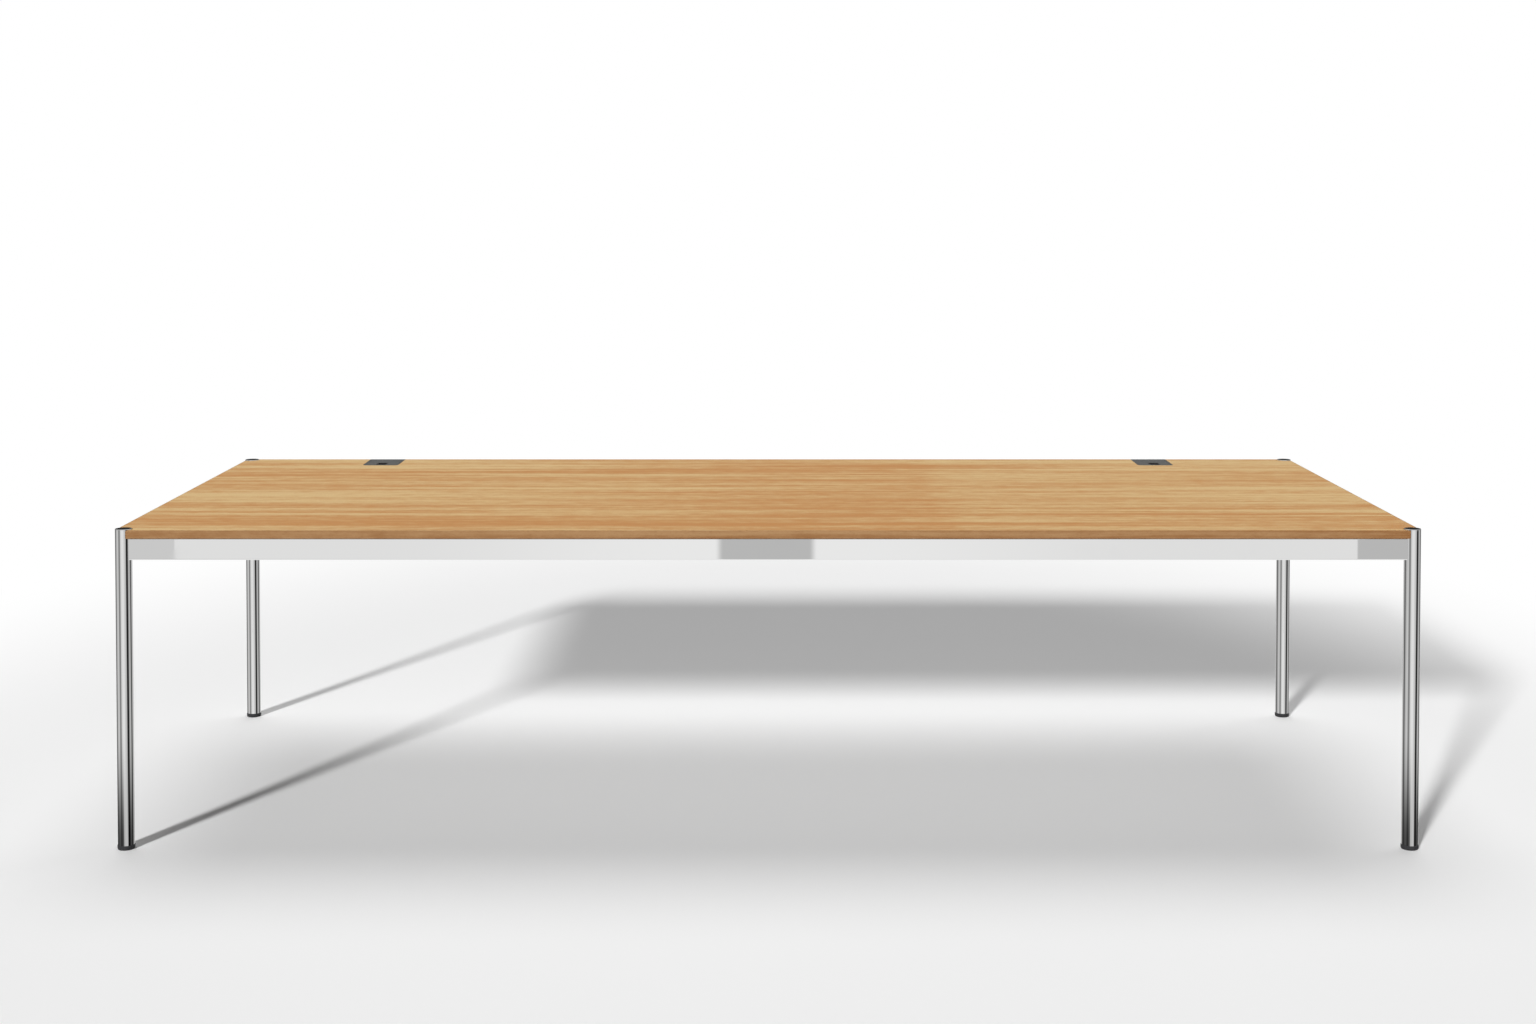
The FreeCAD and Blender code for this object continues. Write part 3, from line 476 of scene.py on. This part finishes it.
class StudioSettings(bpy.types.PropertyGroup):
    """The floor, the lights and the camera."""

    floor: colour_property("Floor", "Colour of the pale floor", (0.920, 0.920, 0.920))
    fade_start: length_property("Fade start", "Where the floor starts to fade to white", 3.4)
    fade_end: length_property("Fade end", "Where the floor is white", 6.1)
    fade_forward: length_property("Fade forward", "How far the fade's middle is in front of the table", 1.0)
    fade_squeeze: number_property("Fade squeeze", "How much sooner it fades to the sides", 1.75)
    floor_radius: length_property("Floor radius", "Half the floor's width", 60.0)
    ambient: share_property("Ambient", "Level of light from all round", 0.015)
    key_level: number_property("Key", "Level of the low front light", 4.4)
    key_height: angle_property("Key height", "How high the front light stands over the floor", 21.1)
    key_heading: angle_property("Key heading", "How far left of the front it stands", 25.2)
    key_width: angle_property("Key width", "How wide the front light looks from the table", 5.2)
    overhead_level: number_property("Overhead", "Level of the light above", 1.26)
    overhead_tilt: angle_property("Overhead tilt", "How far the light above leans back", 18.5)
    overhead_width: angle_property("Overhead width", "How wide the light above looks from the table", 42.0)
    fill_level: number_property("Fill", "Level of the low fill from behind", 0.8)
    fill_height: angle_property("Fill height", "How high the fill stands over the floor", 4.0)
    fill_heading: angle_property("Fill heading", "How far right of the front it stands", 125.0)
    fill_width: angle_property("Fill width", "How wide the fill looks from the table", 24.0)
    lens: number_property("Lens", "Focal length of the camera in millimetres", 49.576)
    camera_distance: length_property("Camera distance", "How far in front of the middle it stands", 5.448)
    camera_height: length_property("Camera height", "Height of the camera", 1.537)
    camera_tilt: angle_property("Camera tilt", "How far the camera looks down", 1.8)
    camera_shift: FloatProperty(
        name="Shift", description="Rest of the framing, in frame widths", default=-0.1712
    )


# The board


def veneer_material(name, light, dark, roughness, seed, contrast=1.0):
    """A matt lacquered veneer. The grain of a band on a short side runs along that side."""
    side_facing = 0.5
    middle = 0.5
    tone_span = (-0.15, 1.15)
    line_share = 0.5
    fleck_share = 0.4
    fleck_tone = 0.7
    gloss_spread = 0.06
    relief = 0.02 * MILLIMETRE
    board = bpy.context.scene.table_board
    material, graph = new_material(name)
    x, y, z = graph.split(graph.place())
    normal = graph.split(graph.add("ShaderNodeNewGeometry").outputs["True Normal"])
    on_short_side = graph.math("GREATER_THAN", graph.math("ABSOLUTE", normal[0]), side_facing)
    along = graph.mixed(on_short_side, x, y)
    across = graph.mixed(on_short_side, y, x)
    figure = graph.shared(
        "Wood Figure",
        vector=graph.joined(along, across, z),
        sheet_start=-board.sheet_start,
        sheet_length=board.sheet_length,
        leaf_width=board.leaf_width,
        seed=seed,
    )
    tone = middle
    for label, weight in WOOD_WEIGHTS.items():
        off_middle = graph.math("SUBTRACT", figure[label], middle)
        tone = graph.math("MULTIPLY_ADD", off_middle, weight * contrast, tone)
    colour = graph.tinted(graph.step(tone, *tone_span), rgba(dark), rgba(light))
    lines = graph.math("MULTIPLY", figure["Lines"], line_share)
    colour = graph.tinted(lines, colour, rgba(dark))
    flecks = graph.math("MULTIPLY", figure["Flecks"], fleck_share)
    colour = graph.tinted(flecks, colour, rgba(dark, fleck_tone))
    height = graph.math("SUBTRACT", figure["Fibres"], figure["Flecks"])
    gloss = graph.mixed(figure["Streaks"], roughness - gloss_spread, roughness + gloss_spread)
    graph.principled(colour, gloss, graph.bump(height, relief), specular=0.25)
    return material


def chip_material(name, light, dark, scale, roughness):
    """Pressed wood chips, as in the core."""
    dust_fineness = 5
    cloud_coarseness = 20
    joint_share = 0.5
    dust_share = 0.3
    relief = 0.08 * MILLIMETRE
    material, graph = new_material(name)
    place = graph.place()
    chips = graph.shared("Pressed Grains", vector=place, scale=scale)
    dust = graph.shared(
        "Fine Grain", vector=place, scale=scale * dust_fineness, clouds=scale / cloud_coarseness
    )
    colour = graph.tinted(chips["Tone"], rgba(dark), rgba(light))
    colour = graph.tinted(graph.math("MULTIPLY", chips["Joint"], joint_share), colour, rgba(dark))
    colour = graph.tinted(graph.math("MULTIPLY", dust["Cloud"], dust_share), colour, rgba(light))
    graph.principled(colour, roughness, graph.bump(chips["Tone"], relief))
    return material


class TABLE_OT_board_faces(bpy.types.Operator):
    """Finish the board's top veneer, its core and its backing veneer"""

    bl_idname = "modular_table.board_faces"
    bl_label = "Board faces"

    def execute(self, context):
        board = context.scene.table_board
        top = veneer_material(
            "veneer_top", board.veneer_light, board.veneer_dark, board.lacquer_roughness, seed=3.0
        )
        backing = veneer_material(
            "veneer_backing", board.backing_light, board.backing_dark, board.backing_roughness,
            seed=11.0, contrast=0.7,
        )
        core = chip_material("chipboard", board.core_light, board.core_dark, scale=450.0, roughness=0.85)
        dress(top, "top_veneer")
        dress(backing, "backing_veneer")
        dress(core, "board_core")
        return {"FINISHED"}


class TABLE_OT_edge_bands(bpy.types.Operator):
    """Finish the solid wood bands round the board, in a wood darker than the top's, partly as painted shade
    """

    bl_idname = "modular_table.edge_bands"
    bl_label = "Edge bands"

    def execute(self, context):
        board = context.scene.table_board
        # Painted shade: the bands' darker colour partly stands for the front face getting less light than the
        # top.
        wood = veneer_material(
            "shaded_edge_wood", board.shaded_edge_light, board.shaded_edge_dark, board.lacquer_roughness, seed=7.0, contrast=0.8
        )
        dress(wood, *[name for name in NODES if name.startswith("edge_band")])
        return {"FINISHED"}


# The legs


def chrome_material(name, colour, roughness, smudge_roughness):
    """Bright plating with faint marks of handling."""
    smudge_share = 0.4
    smudge_tone = 0.93
    material, graph = new_material(name)
    marks = graph.shared("Handling Marks", vector=graph.place(), scale=9.0)
    marked = graph.math("MULTIPLY", marks["Smudges"], marks["Wiping"])
    gloss = graph.mixed(marked, roughness, smudge_roughness)
    smudged = graph.math("MULTIPLY", marked, smudge_share)
    tint = graph.tinted(smudged, rgba(colour), rgba(colour, smudge_tone))
    graph.principled(tint, gloss, metallic=1.0)
    return material


class TABLE_OT_leg_tubes(bpy.types.Operator):
    """Make the four chromed leg tubes"""

    bl_idname = "modular_table.leg_tubes"
    bl_label = "Leg tubes"

    def execute(self, context):
        metal = context.scene.table_metal
        chrome = chrome_material("leg_chrome", metal.chrome, metal.chrome_roughness, smudge_roughness=0.07)
        for corner in CORNERS:
            low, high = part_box(f"leg_{corner}")
            outer = round_radius(low, high)
            inner = outer - metal.tube_wall
            cut = metal.tube_chamfer
            profile = [
                (inner, low.z), (outer - cut, low.z), (outer, low.z + cut),
                (outer, high.z - cut), (outer - cut, high.z), (inner, high.z),
            ]
            tube = turned(f"leg_tube_{corner}", profile, leg_axis(corner), metal.turned_segments)
            stand_in(tube, f"leg_{corner}", "frame", chrome)
        return {"FINISHED"}


class TABLE_OT_leg_caps(bpy.types.Operator):
    """Make the polished caps that close the legs"""

    bl_idname = "modular_table.leg_caps"
    bl_label = "Leg caps"

    def execute(self, context):
        metal = context.scene.table_metal
        material = chrome_material("polished_cap", metal.cap, metal.cap_roughness, smudge_roughness=0.2)
        for corner in CORNERS:
            low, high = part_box(f"leg_cap_{corner}")
            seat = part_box(f"leg_{corner}")[1].z
            outer = round_radius(low, high)
            spigot = outer - metal.tube_wall - metal.spigot_play
            hollow = spigot - metal.spigot_wall
            edge = metal.cap_round
            rim_height = high.z - metal.cap_crown
            profile = [
                (0, seat), (hollow, seat), (hollow, low.z),
                (spigot, low.z), (spigot, seat), (outer, seat),
            ]
            profile += arc((outer - edge, rim_height - edge), edge, start=0, end=90, steps=ROUND_STEPS)
            for step in range(1, CROWN_STEPS):
                radius = (outer - edge) * (1 - step / CROWN_STEPS)
                profile.append((radius, high.z - metal.cap_crown * (radius / (outer - edge)) ** 2))
            profile.append((0, high.z))
            cap = turned(f"cap_{corner}", profile, leg_axis(corner), metal.turned_segments)
            stand_in(cap, f"leg_cap_{corner}", "frame", material)
        return {"FINISHED"}


# The levelling glides


# Both tables give depths in millimetres.
# Moulded finishes: colour setting, roughness, scale of the grain, depth of the grain, share of dust
MOULDED_FINISHES = {
    "glide_nylon": ("nylon", 0.42, 1800.0, 0.03, 0.0),
    "sole_rubber": ("rubber", 0.7, 1200.0, 0.05, 0.0),
    "grommet_rubber": ("rubber", 0.65, 1200.0, 0.04, 0.0),
    "tray_graphite": ("graphite", 0.5, 2200.0, 0.03, 0.6),
    "lid_graphite": ("graphite", 0.46, 2200.0, 0.03, 0.8),
}
# Metal finishes: colour setting, roughness, scale of the crystals, depth of the texture, spread of tone
METAL_FINISHES = {
    "insert_zinc": ("zinc", 0.36, 260.0, 0.01, 0.25),
    "stud_zinc": ("zinc", 0.3, 260.0, 0.01, 0.25),
    "bolt_zinc": ("zinc", 0.32, 260.0, 0.01, 0.25),
    "rivet_zinc": ("zinc", 0.34, 260.0, 0.01, 0.25),
    "clip_zinc": ("zinc", 0.38, 120.0, 0.01, 0.3),
    "pin_steel": ("zinc", 0.25, 400.0, 0.005, 0.25),
    "cast_zinc": ("cast_zinc", 0.5, 500.0, 0.04, 0.35),
    "set_screw_black": ("black_steel", 0.4, 400.0, 0.01, 0.25),
    "plate_bolt_black": ("black_steel", 0.42, 400.0, 0.01, 0.25),
    "screw_steel": ("screw_steel", 0.28, 400.0, 0.005, 0.25),
    "port_screw_steel": ("screw_steel", 0.28, 400.0, 0.005, 0.25),
}


def moulded_material(name):
    """A moulded surface with a fine grain and, where it is dusty, pale specks."""
    shade_share = 0.35
    shade_tone = 0.7
    gloss_spread = 0.08
    setting, roughness, grain_scale, grain_depth, dusty = MOULDED_FINISHES[name]
    plastic = bpy.context.scene.table_plastic
    colour = getattr(plastic, setting)
    material, graph = new_material(name)
    place = graph.place()
    texture = graph.shared("Fine Grain", vector=place, scale=grain_scale, clouds=40.0)
    shade = graph.mixed(texture["Cloud"], 0.0, shade_share)
    body = graph.tinted(shade, rgba(colour), rgba(colour, shade_tone))
    dust = graph.shared("Dust Specks", vector=place, scale=240.0, size=0.1)
    body = graph.tinted(graph.math("MULTIPLY", dust["Specks"], dusty), body, rgba(plastic.dust))
    gloss = graph.mixed(texture["Cloud"], roughness - gloss_spread, roughness + gloss_spread)
    normal = graph.bump(texture["Grain"], grain_depth * MILLIMETRE)
    graph.principled(body, gloss, normal, specular=0.4)
    return material


def metal_material(name):
    """A plain metal finish: crystals that differ a little, on a fine texture."""
    texture_fineness = 4
    smoother = 0.08
    rougher = 0.1
    setting, roughness, crystal_scale, texture_depth, tone_spread = METAL_FINISHES[name]
    colour = getattr(bpy.context.scene.table_metal, setting)
    material, graph = new_material(name)
    place = graph.place()
    grains = graph.shared("Pressed Grains", vector=place, scale=crystal_scale)
    texture = graph.shared("Fine Grain", vector=place, scale=crystal_scale * texture_fineness, clouds=60.0)
    dull = graph.math("MULTIPLY", grains["Tone"], texture["Cloud"])
    tint = graph.tinted(dull, rgba(colour), rgba(colour, 1 - tone_spread))
    gloss = graph.mixed(texture["Cloud"], roughness - smoother, roughness + rougher)
    normal = graph.bump(texture["Grain"], texture_depth * MILLIMETRE)
    graph.principled(tint, gloss, normal, metallic=1.0)
    return material


def threaded_rod(name, axis, low, high, radius, pitch, depth, segments=40, steps_per_turn=6):
    """A rod with one helical thread all along it, and a chamfered tip."""
    source = bmesh.new()
    step_height = pitch / steps_per_turn
    count = round((high - low) / step_height)
    tip = THREAD_TIP * depth
    rings = []
    for level in range(count + 1):
        height = low + (high - low) * level / count
        room = min(1.0, (high - height) / tip)
        crest = min(radius, radius - tip + tip * room)
        ring = []
        for step in range(segments):
            turn = step / segments
            phase = (height / pitch - turn) % 1.0
            ridge = abs(2 * phase - 1)
            ring_radius = min(radius - depth * ridge, crest)
            angle = math.tau * turn
            place = (ring_radius * math.cos(angle), ring_radius * math.sin(angle), height)
            ring.append(source.verts.new(place))
        rings.append(ring)
    for ring, following in zip(rings, rings[1:]):
        for step in range(segments):
            ahead = (step + 1) % segments
            source.faces.new([ring[step], ring[ahead], following[ahead], following[step]])
    source.faces.new(rings[0])
    source.faces.new(rings[-1])
    return new_piece(name, source, axis, THREAD_SHARP_DEGREES)


class TABLE_OT_glides(bpy.types.Operator):
    """Finish the pads, soles and foot inserts of the glides"""

    bl_idname = "modular_table.glides"
    bl_label = "Glides"

    def execute(self, context):
        dress(moulded_material("glide_nylon"), *each_corner("glide_pad"))
        dress(moulded_material("sole_rubber"), *each_corner("floor_sole"))
        dress(metal_material("insert_zinc"), *each_corner("foot_insert"))
        return {"FINISHED"}


class TABLE_OT_glide_studs(bpy.types.Operator):
    """Make the threaded studs that raise and lower the glides"""

    bl_idname = "modular_table.glide_studs"
    bl_label = "Glide studs"

    def execute(self, context):
        metal = context.scene.table_metal
        zinc = metal_material("stud_zinc")
        for corner in CORNERS:
            low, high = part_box(f"glide_stud_{corner}")
            axis = leg_axis(corner)
            head_top = low.z + metal.stud_head
            stud = threaded_rod(
                f"glide_screw_{corner}", axis, head_top, high.z,
                metal.stud_radius, metal.thread_pitch, metal.thread_depth,
            )
            # The box is widest across the head's corners.
            reach_x = high.x - axis.x
            reach_y = high.y - axis.y
            reach = max(reach_x, reach_y)
            first_corner = 0 if reach_x > reach_y else 90
            head_profile = [(0, low.z), (reach, low.z), (reach, head_top), (0, head_top)]
            head = turned(f"glide_head_{corner}", head_profile, axis, HEXAGON, first_corner)
            head.data.materials.append(zinc)
            head.parent = stud
            stand_in(stud, f"glide_stud_{corner}", f"glide_{corner}", zinc)
        return {"FINISHED"}


# The rails and what joins them


class TABLE_OT_rails(bpy.types.Operator):
    """Finish the four chromed rails"""

    bl_idname = "modular_table.rails"
    bl_label = "Rails"

    def execute(self, context):
        metal = context.scene.table_metal
        chrome = chrome_material("rail_chrome", metal.chrome, metal.chrome_roughness, smudge_roughness=0.06)
        dress(chrome, "rail_front", "rail_rear", "rail_left", "rail_right")
        return {"FINISHED"}


class TABLE_OT_rail_joints(bpy.types.Operator):
    """Finish the plugs, bolts, set screws and nut bars in the rail ends"""

    bl_idname = "modular_table.rail_joints"
    bl_label = "Rail joints"

    def execute(self, context):
        dress(metal_material("cast_zinc"), "rail_end_plugs", "leg_nut_bars")
        dress(metal_material("bolt_zinc"), "draw_bolts")
        dress(metal_material("set_screw_black"), "rail_set_screws")
        return {"FINISHED"}


def painted_material(name, colour):
    """A silver powder coat with its orange peel."""
    flake_share = 0.3
    flake_tone = 1.3
    gloss_span = (0.38, 0.5)
    relief = 0.05 * MILLIMETRE
    material, graph = new_material(name)
    place = graph.place()
    texture = graph.shared("Fine Grain", vector=place, scale=700.0, clouds=15.0)
    flakes = graph.shared("Pressed Grains", vector=place, scale=2500.0)
    flaked = graph.math("MULTIPLY", flakes["Tone"], flake_share)
    tint = graph.tinted(flaked, rgba(colour), rgba(colour, flake_tone))
    gloss = graph.mixed(texture["Cloud"], *gloss_span)
    graph.principled(tint, gloss, graph.bump(texture["Grain"], relief), metallic=0.6)
    return material


class TABLE_OT_cross_bars(bpy.types.Operator):
    """Finish the painted cross bars, their plates, bolts and rivet nuts"""

    bl_idname = "modular_table.cross_bars"
    bl_label = "Cross bars"

    def execute(self, context):
        paint = painted_material("silver_powder_coat", context.scene.table_metal.silver_paint)
        dress(paint, "cross_bar_left", "cross_bar_middle", "cross_bar_right", "cross_bar_plates")
        dress(metal_material("rivet_zinc"), "rivet_nuts")
        dress(metal_material("plate_bolt_black"), "cross_bar_bolts")
        return {"FINISHED"}


class TABLE_OT_board_clips(bpy.types.Operator):
    """Finish the clips that hold the board, and their screws"""

    bl_idname = "modular_table.board_clips"
    bl_label = "Board clips"

    def execute(self, context):
        dress(metal_material("clip_zinc"), "board_clips")
        dress(metal_material("screw_steel"), "board_screws", "clip_rail_screws")
        return {"FINISHED"}


# The cable ports


class TABLE_OT_port_trays(bpy.types.Operator):
    """Finish the trays of the cable ports and their screws"""

    bl_idname = "modular_table.port_trays"
    bl_label = "Port trays"

    def execute(self, context):
        dress(moulded_material("tray_graphite"), "port_tray_left", "port_tray_right")
        dress(metal_material("port_screw_steel"), "port_screws")
        return {"FINISHED"}


class TABLE_OT_port_lids(bpy.types.Operator):
    """Finish the lids of the cable ports, their grommets and hinge pins"""

    bl_idname = "modular_table.port_lids"
    bl_label = "Port lids"

    def execute(self, context):
        dress(moulded_material("lid_graphite"), "port_lid_left", "port_lid_right")
        dress(moulded_material("grommet_rubber"), "lid_grommet_left", "lid_grommet_right")
        dress(metal_material("pin_steel"), "hinge_pin_left", "hinge_pin_right")
        return {"FINISHED"}


# The studio


# What bright metal reflects, as grey levels. Headings are in degrees, 0 to the front and 90 to the right, and
# heights are in degrees over the horizon. A soft edge is a pair: where it sets in, and where it is complete.
STUDIO_WALL = (
    (-180, 0.58), (-145, 0.50), (-134, 0.12), (-114, 0.12), (-104, 0.36), (-90, 0.52), (-64, 0.62),
    (-57, 0.25), (-37, 0.22), (-31, 0.56), (-24, 0.68), (-19.5, 0.76), (-18, 0.62), (-14, 0.62),
    (-6, 0.50), (18, 0.50), (19.5, 0.70), (31, 0.57), (44, 0.38), (47, 0.01), (67, 0.01), (74, 0.22),
    (85, 0.54), (96, 0.48), (114, 0.05), (127, 0.05), (133, 0.50), (180, 0.58),
)
CARDS_LEFT = 0.05  # how far left of the front the gap between the cards is
CARD_EDGES = ((1.16, 1.40), (15.72, 15.68))
CARD_GREY = 0.86
CARD_STEPS = (((2.5, 11), 0.78),)
SHADE_SHARE = 0.88
SHADE_STEPS = (((-18, -4), 0.37), ((12, 20), 0.10), ((40, 50), 0.88))
SHADE_STEPS_BEHIND = (((126, 136), 0.20),)
SHADE_HEIGHTS = ((-13.9, -16.8), (-23, -18))
FLAG_HEIGHTS = ((1, 3), (14, 12))
FLAG_SIDE = (135, 145)
FLAG_GREY = 0.03
FLOOR_EDGE = (-19, -40)
FLOOR_SHARE = 0.6
FLOOR_GREY = 0.62
NEAR_FLOOR_EDGE = (-40, -55)
NEAR_FLOOR_GREY = 0.95
CEILING_EDGE = (13, 20)
CEILING_GREY = 0.85
CEILING_STEPS = (((18, 27), 0.55), ((38, 52), 0.90))


def rise(degrees):
    """The upward part of a ray's direction that rises by an angle."""
    return math.sin(math.radians(degrees))


def soft_edge(graph, value, edge, unit):
    """A mask that sets in over a soft edge. unit turns the edge's degrees into what the value is in."""
    return graph.step(value, unit(edge[0]), unit(edge[1]))


def between(graph, value, edges, unit):
    """A mask of what lies between two soft edges."""
    return graph.math("MULTIPLY", *[soft_edge(graph, value, edge, unit) for edge in edges])


def stepped(graph, value, level, steps, unit):
    """A level that gives way to the next one over each soft edge."""
    for edge, following in steps:
        level = graph.mixed(soft_edge(graph, value, edge, unit), level, following)
    return level


def wall_colour(graph, heading):
    """The grey of the studio's walls by heading."""
    turn = graph.math("MULTIPLY_ADD", heading, 1 / math.tau, 0.5)
    walls = graph.add("ShaderNodeValToRGB", {"Fac": turn})
    stops = walls.color_ramp.elements
    while len(stops) < len(STUDIO_WALL):
        stops.new(1.0)
    for stop, (degrees, level) in zip(stops, STUDIO_WALL):
        stop.position = (degrees + 180) / 360
        stop.color = grey(level)
    return walls.outputs["Color"]


def studio_reflection(graph):
    """What bright metal sees of the studio, by the direction of the reflected ray."""
    radians = math.radians
    x, y, z = graph.split(graph.add("ShaderNodeTexCoord").outputs["Generated"])
    heading = graph.math("ARCTAN2", x, graph.math("MULTIPLY", y, -1.0))
    walls = wall_colour(graph, heading)
    # Two white cards stand side by side in front of the table, with a narrow gap between them.
    off_centre = graph.math("ABSOLUTE", graph.math("ADD", heading, radians(CARDS_LEFT)))
    on_card = between(graph, off_centre, CARD_EDGES, radians)
    card = stepped(graph, off_centre, CARD_GREY, CARD_STEPS, radians)
    reflected = graph.tinted(on_card, walls, graph.joined(card, card, card))
    # Just over the floor all is darker, least to the right of the cards and behind the table.
    shade = stepped(graph, heading, SHADE_SHARE, SHADE_STEPS, radians)
    shade = stepped(graph, off_centre, shade, SHADE_STEPS_BEHIND, radians)
    shade = graph.math("MULTIPLY", shade, between(graph, z, SHADE_HEIGHTS, rise))
    reflected = graph.tinted(shade, reflected, grey(0.0))
    # Behind the table a low dark flag stands on the wall.
    flag_side = soft_edge(graph, off_centre, FLAG_SIDE, radians)
    flag = graph.math("MULTIPLY", between(graph, z, FLAG_HEIGHTS, rise), flag_side)
    reflected = graph.tinted(flag, reflected, grey(FLAG_GREY))
    # Below the walls is the floor, which is brightest near the table.
    floor_share = graph.math("MULTIPLY", soft_edge(graph, z, FLOOR_EDGE, rise), FLOOR_SHARE)
    reflected = graph.tinted(floor_share, reflected, grey(FLOOR_GREY))
    near_floor = soft_edge(graph, z, NEAR_FLOOR_EDGE, rise)
    reflected = graph.tinted(near_floor, reflected, grey(NEAR_FLOOR_GREY))
    # Over the walls is the ceiling, with a darker ring round its bright middle.
    ceiling_share = soft_edge(graph, z, CEILING_EDGE, rise)
    ceiling = stepped(graph, z, CEILING_GREY, CEILING_STEPS, rise)
    return graph.tinted(ceiling_share, reflected, graph.joined(ceiling, ceiling, ceiling))


def studio_world(studio):
    """White behind the table, the studio in bright metal, and an even light on everything else."""
    world = bpy.data.worlds.new("studio")
    bpy.context.scene.world = world
    world.use_nodes = True
    graph = Graph(world.node_tree)
    reflected = studio_reflection(graph)
    rays = graph.add("ShaderNodeLightPath").outputs
    bright = graph.math("MAXIMUM", rays["Is Glossy Ray"], rays["Is Transmission Ray"])
    light = graph.tinted(bright, grey(studio.ambient), reflected)
    light = graph.tinted(rays["Is Camera Ray"], light, grey(1.0))
    background = graph.add("ShaderNodeBackground", {"Color": light, "Strength": 1.0})
    graph.add("ShaderNodeOutputWorld", {"Surface": background.outputs[0]})


def floor_material(studio):
    """A pale matt floor that fades to the white background far from the table."""
    cloud_share = 0.1
    cloud_grey = 0.96
    material, graph = new_material("studio_floor")
    place = graph.place()
    texture = graph.shared("Fine Grain", vector=place, scale=90.0, clouds=1.5)
    clouds = graph.math("MULTIPLY", texture["Cloud"], cloud_share)
    colour = graph.tinted(clouds, rgba(studio.floor), grey(cloud_grey))
    matt_feeds = {"Base Color": colour, "Roughness": 0.95, "Specular IOR Level": 0.1}
    matt = graph.add("ShaderNodeBsdfPrincipled", matt_feeds)
    white = graph.add("ShaderNodeEmission", {"Color": grey(1.0), "Strength": 1.0})
    x, y, _ = graph.split(place)
    sideways = graph.math("MULTIPLY", x, studio.fade_squeeze)
    forwards = graph.math("ADD", y, studio.fade_forward)
    from_middle = graph.joined(sideways, forwards, 0.0)
    distance = graph.add("ShaderNodeVectorMath", {0: from_middle}, operation="LENGTH").outputs["Value"]
    faded = graph.step(distance, studio.fade_start, studio.fade_end)
    seen = graph.add("ShaderNodeLightPath").outputs["Is Camera Ray"]
    factor = graph.math("MULTIPLY", faded, seen)
    mixed = graph.add("ShaderNodeMixShader", {0: factor, 1: matt.outputs[0], 2: white.outputs[0]})
    graph.add("ShaderNodeOutputMaterial", {"Surface": mixed.outputs[0]})
    return material


def studio_floor(studio):
    """A wide disc under the table, which metal doesn't reflect because the world holds a floor for it."""
    source = bmesh.new()
    bmesh.ops.create_circle(source, cap_ends=True, segments=96, radius=studio.floor_radius)
    floor = new_piece("studio_floor", source, Vector((0, 0, 0)))
    floor.data.materials.append(floor_material(studio))
    floor.visible_glossy = False


def distant_light(name, level, width, turns):
    """A light from far away, turned from straight down, which metal doesn't reflect."""
    light = bpy.data.objects.new(name, bpy.data.lights.new(name, "SUN"))
    light.data.energy = level
    light.data.angle = width
    light.rotation_euler = turns
    light.visible_glossy = False
    bpy.context.collection.objects.link(light)


def studio_lights(studio):
    """A low soft light from the front left, a wide one overhead, and a low fill from the back right."""
    key_turns = (QUARTER_TURN - studio.key_height, 0, -studio.key_heading)
    overhead_turns = (-studio.overhead_tilt, 0, 0)
    fill_turns = (QUARTER_TURN - studio.fill_height, 0, studio.fill_heading)
    distant_light("key_light", studio.key_level, studio.key_width, key_turns)
    distant_light("overhead_light", studio.overhead_level, studio.overhead_width, overhead_turns)
    distant_light("fill_light", studio.fill_level, studio.fill_width, fill_turns)


def studio_camera(studio):
    """The camera of the photograph, level but for a small tilt, with the rest of its framing as shift."""
    camera = bpy.data.objects.new("camera", bpy.data.cameras.new("camera"))
    camera.data.lens = studio.lens
    camera.data.shift_y = studio.camera_shift
    camera.location = (0, -studio.camera_distance, studio.camera_height)
    camera.rotation_euler = (QUARTER_TURN - studio.camera_tilt, 0, 0)
    bpy.context.collection.objects.link(camera)
    bpy.context.scene.camera = camera


class TABLE_OT_stage(bpy.types.Operator):
    """Set up the floor, the lights, the world and the camera"""

    bl_idname = "modular_table.stage"
    bl_label = "Stage"

    def execute(self, context):
        studio = context.scene.table_studio
        studio_world(studio)
        studio_floor(studio)
        studio_lights(studio)
        studio_camera(studio)
        context.scene.view_settings.view_transform = "Standard"
        return {"FINISHED"}


OPERATORS = (
    TABLE_OT_board_faces,
    TABLE_OT_edge_bands,
    TABLE_OT_leg_tubes,
    TABLE_OT_leg_caps,
    TABLE_OT_rails,
    TABLE_OT_rail_joints,
    TABLE_OT_glides,
    TABLE_OT_glide_studs,
    TABLE_OT_cross_bars,
    TABLE_OT_board_clips,
    TABLE_OT_port_trays,
    TABLE_OT_port_lids,
    TABLE_OT_stage,
)
SETTINGS = {
    "table_board": BoardSettings,
    "table_metal": MetalSettings,
    "table_plastic": PlasticSettings,
    "table_studio": StudioSettings,
}


class TABLE_PT_sidebar(bpy.types.Panel):
    """Lists the table's settings and its operators"""

    bl_idname = "TABLE_PT_sidebar"
    bl_label = "Modular Table"
    bl_space_type = "VIEW_3D"
    bl_region_type = "UI"
    bl_category = "Modular Table"

    def draw(self, context):
        for name, group in SETTINGS.items():
            box = self.layout.box()
            for setting in group.__annotations__:
                box.prop(getattr(context.scene, name), setting)
        for operator in OPERATORS:
            self.layout.operator(operator.bl_idname)


def register():
    """Registers the settings, the operators and the panel."""
    for name, group in SETTINGS.items():
        bpy.utils.register_class(group)
        setattr(bpy.types.Scene, name, PointerProperty(type=group))
    for operator in OPERATORS:
        bpy.utils.register_class(operator)
    bpy.utils.register_class(TABLE_PT_sidebar)


def unregister():
    """Takes away all that register added."""
    bpy.utils.unregister_class(TABLE_PT_sidebar)
    for operator in reversed(OPERATORS):
        bpy.utils.unregister_class(operator)
    for name, group in SETTINGS.items():
        delattr(bpy.types.Scene, name)
        bpy.utils.unregister_class(group)


def main():
    """Dresses the table piece by piece and sets the stage."""
    register()
    for operator in OPERATORS:
        family, action = operator.bl_idname.split(".")
        getattr(getattr(bpy.ops, family), action)()


if __name__ == "__main__":
    main()
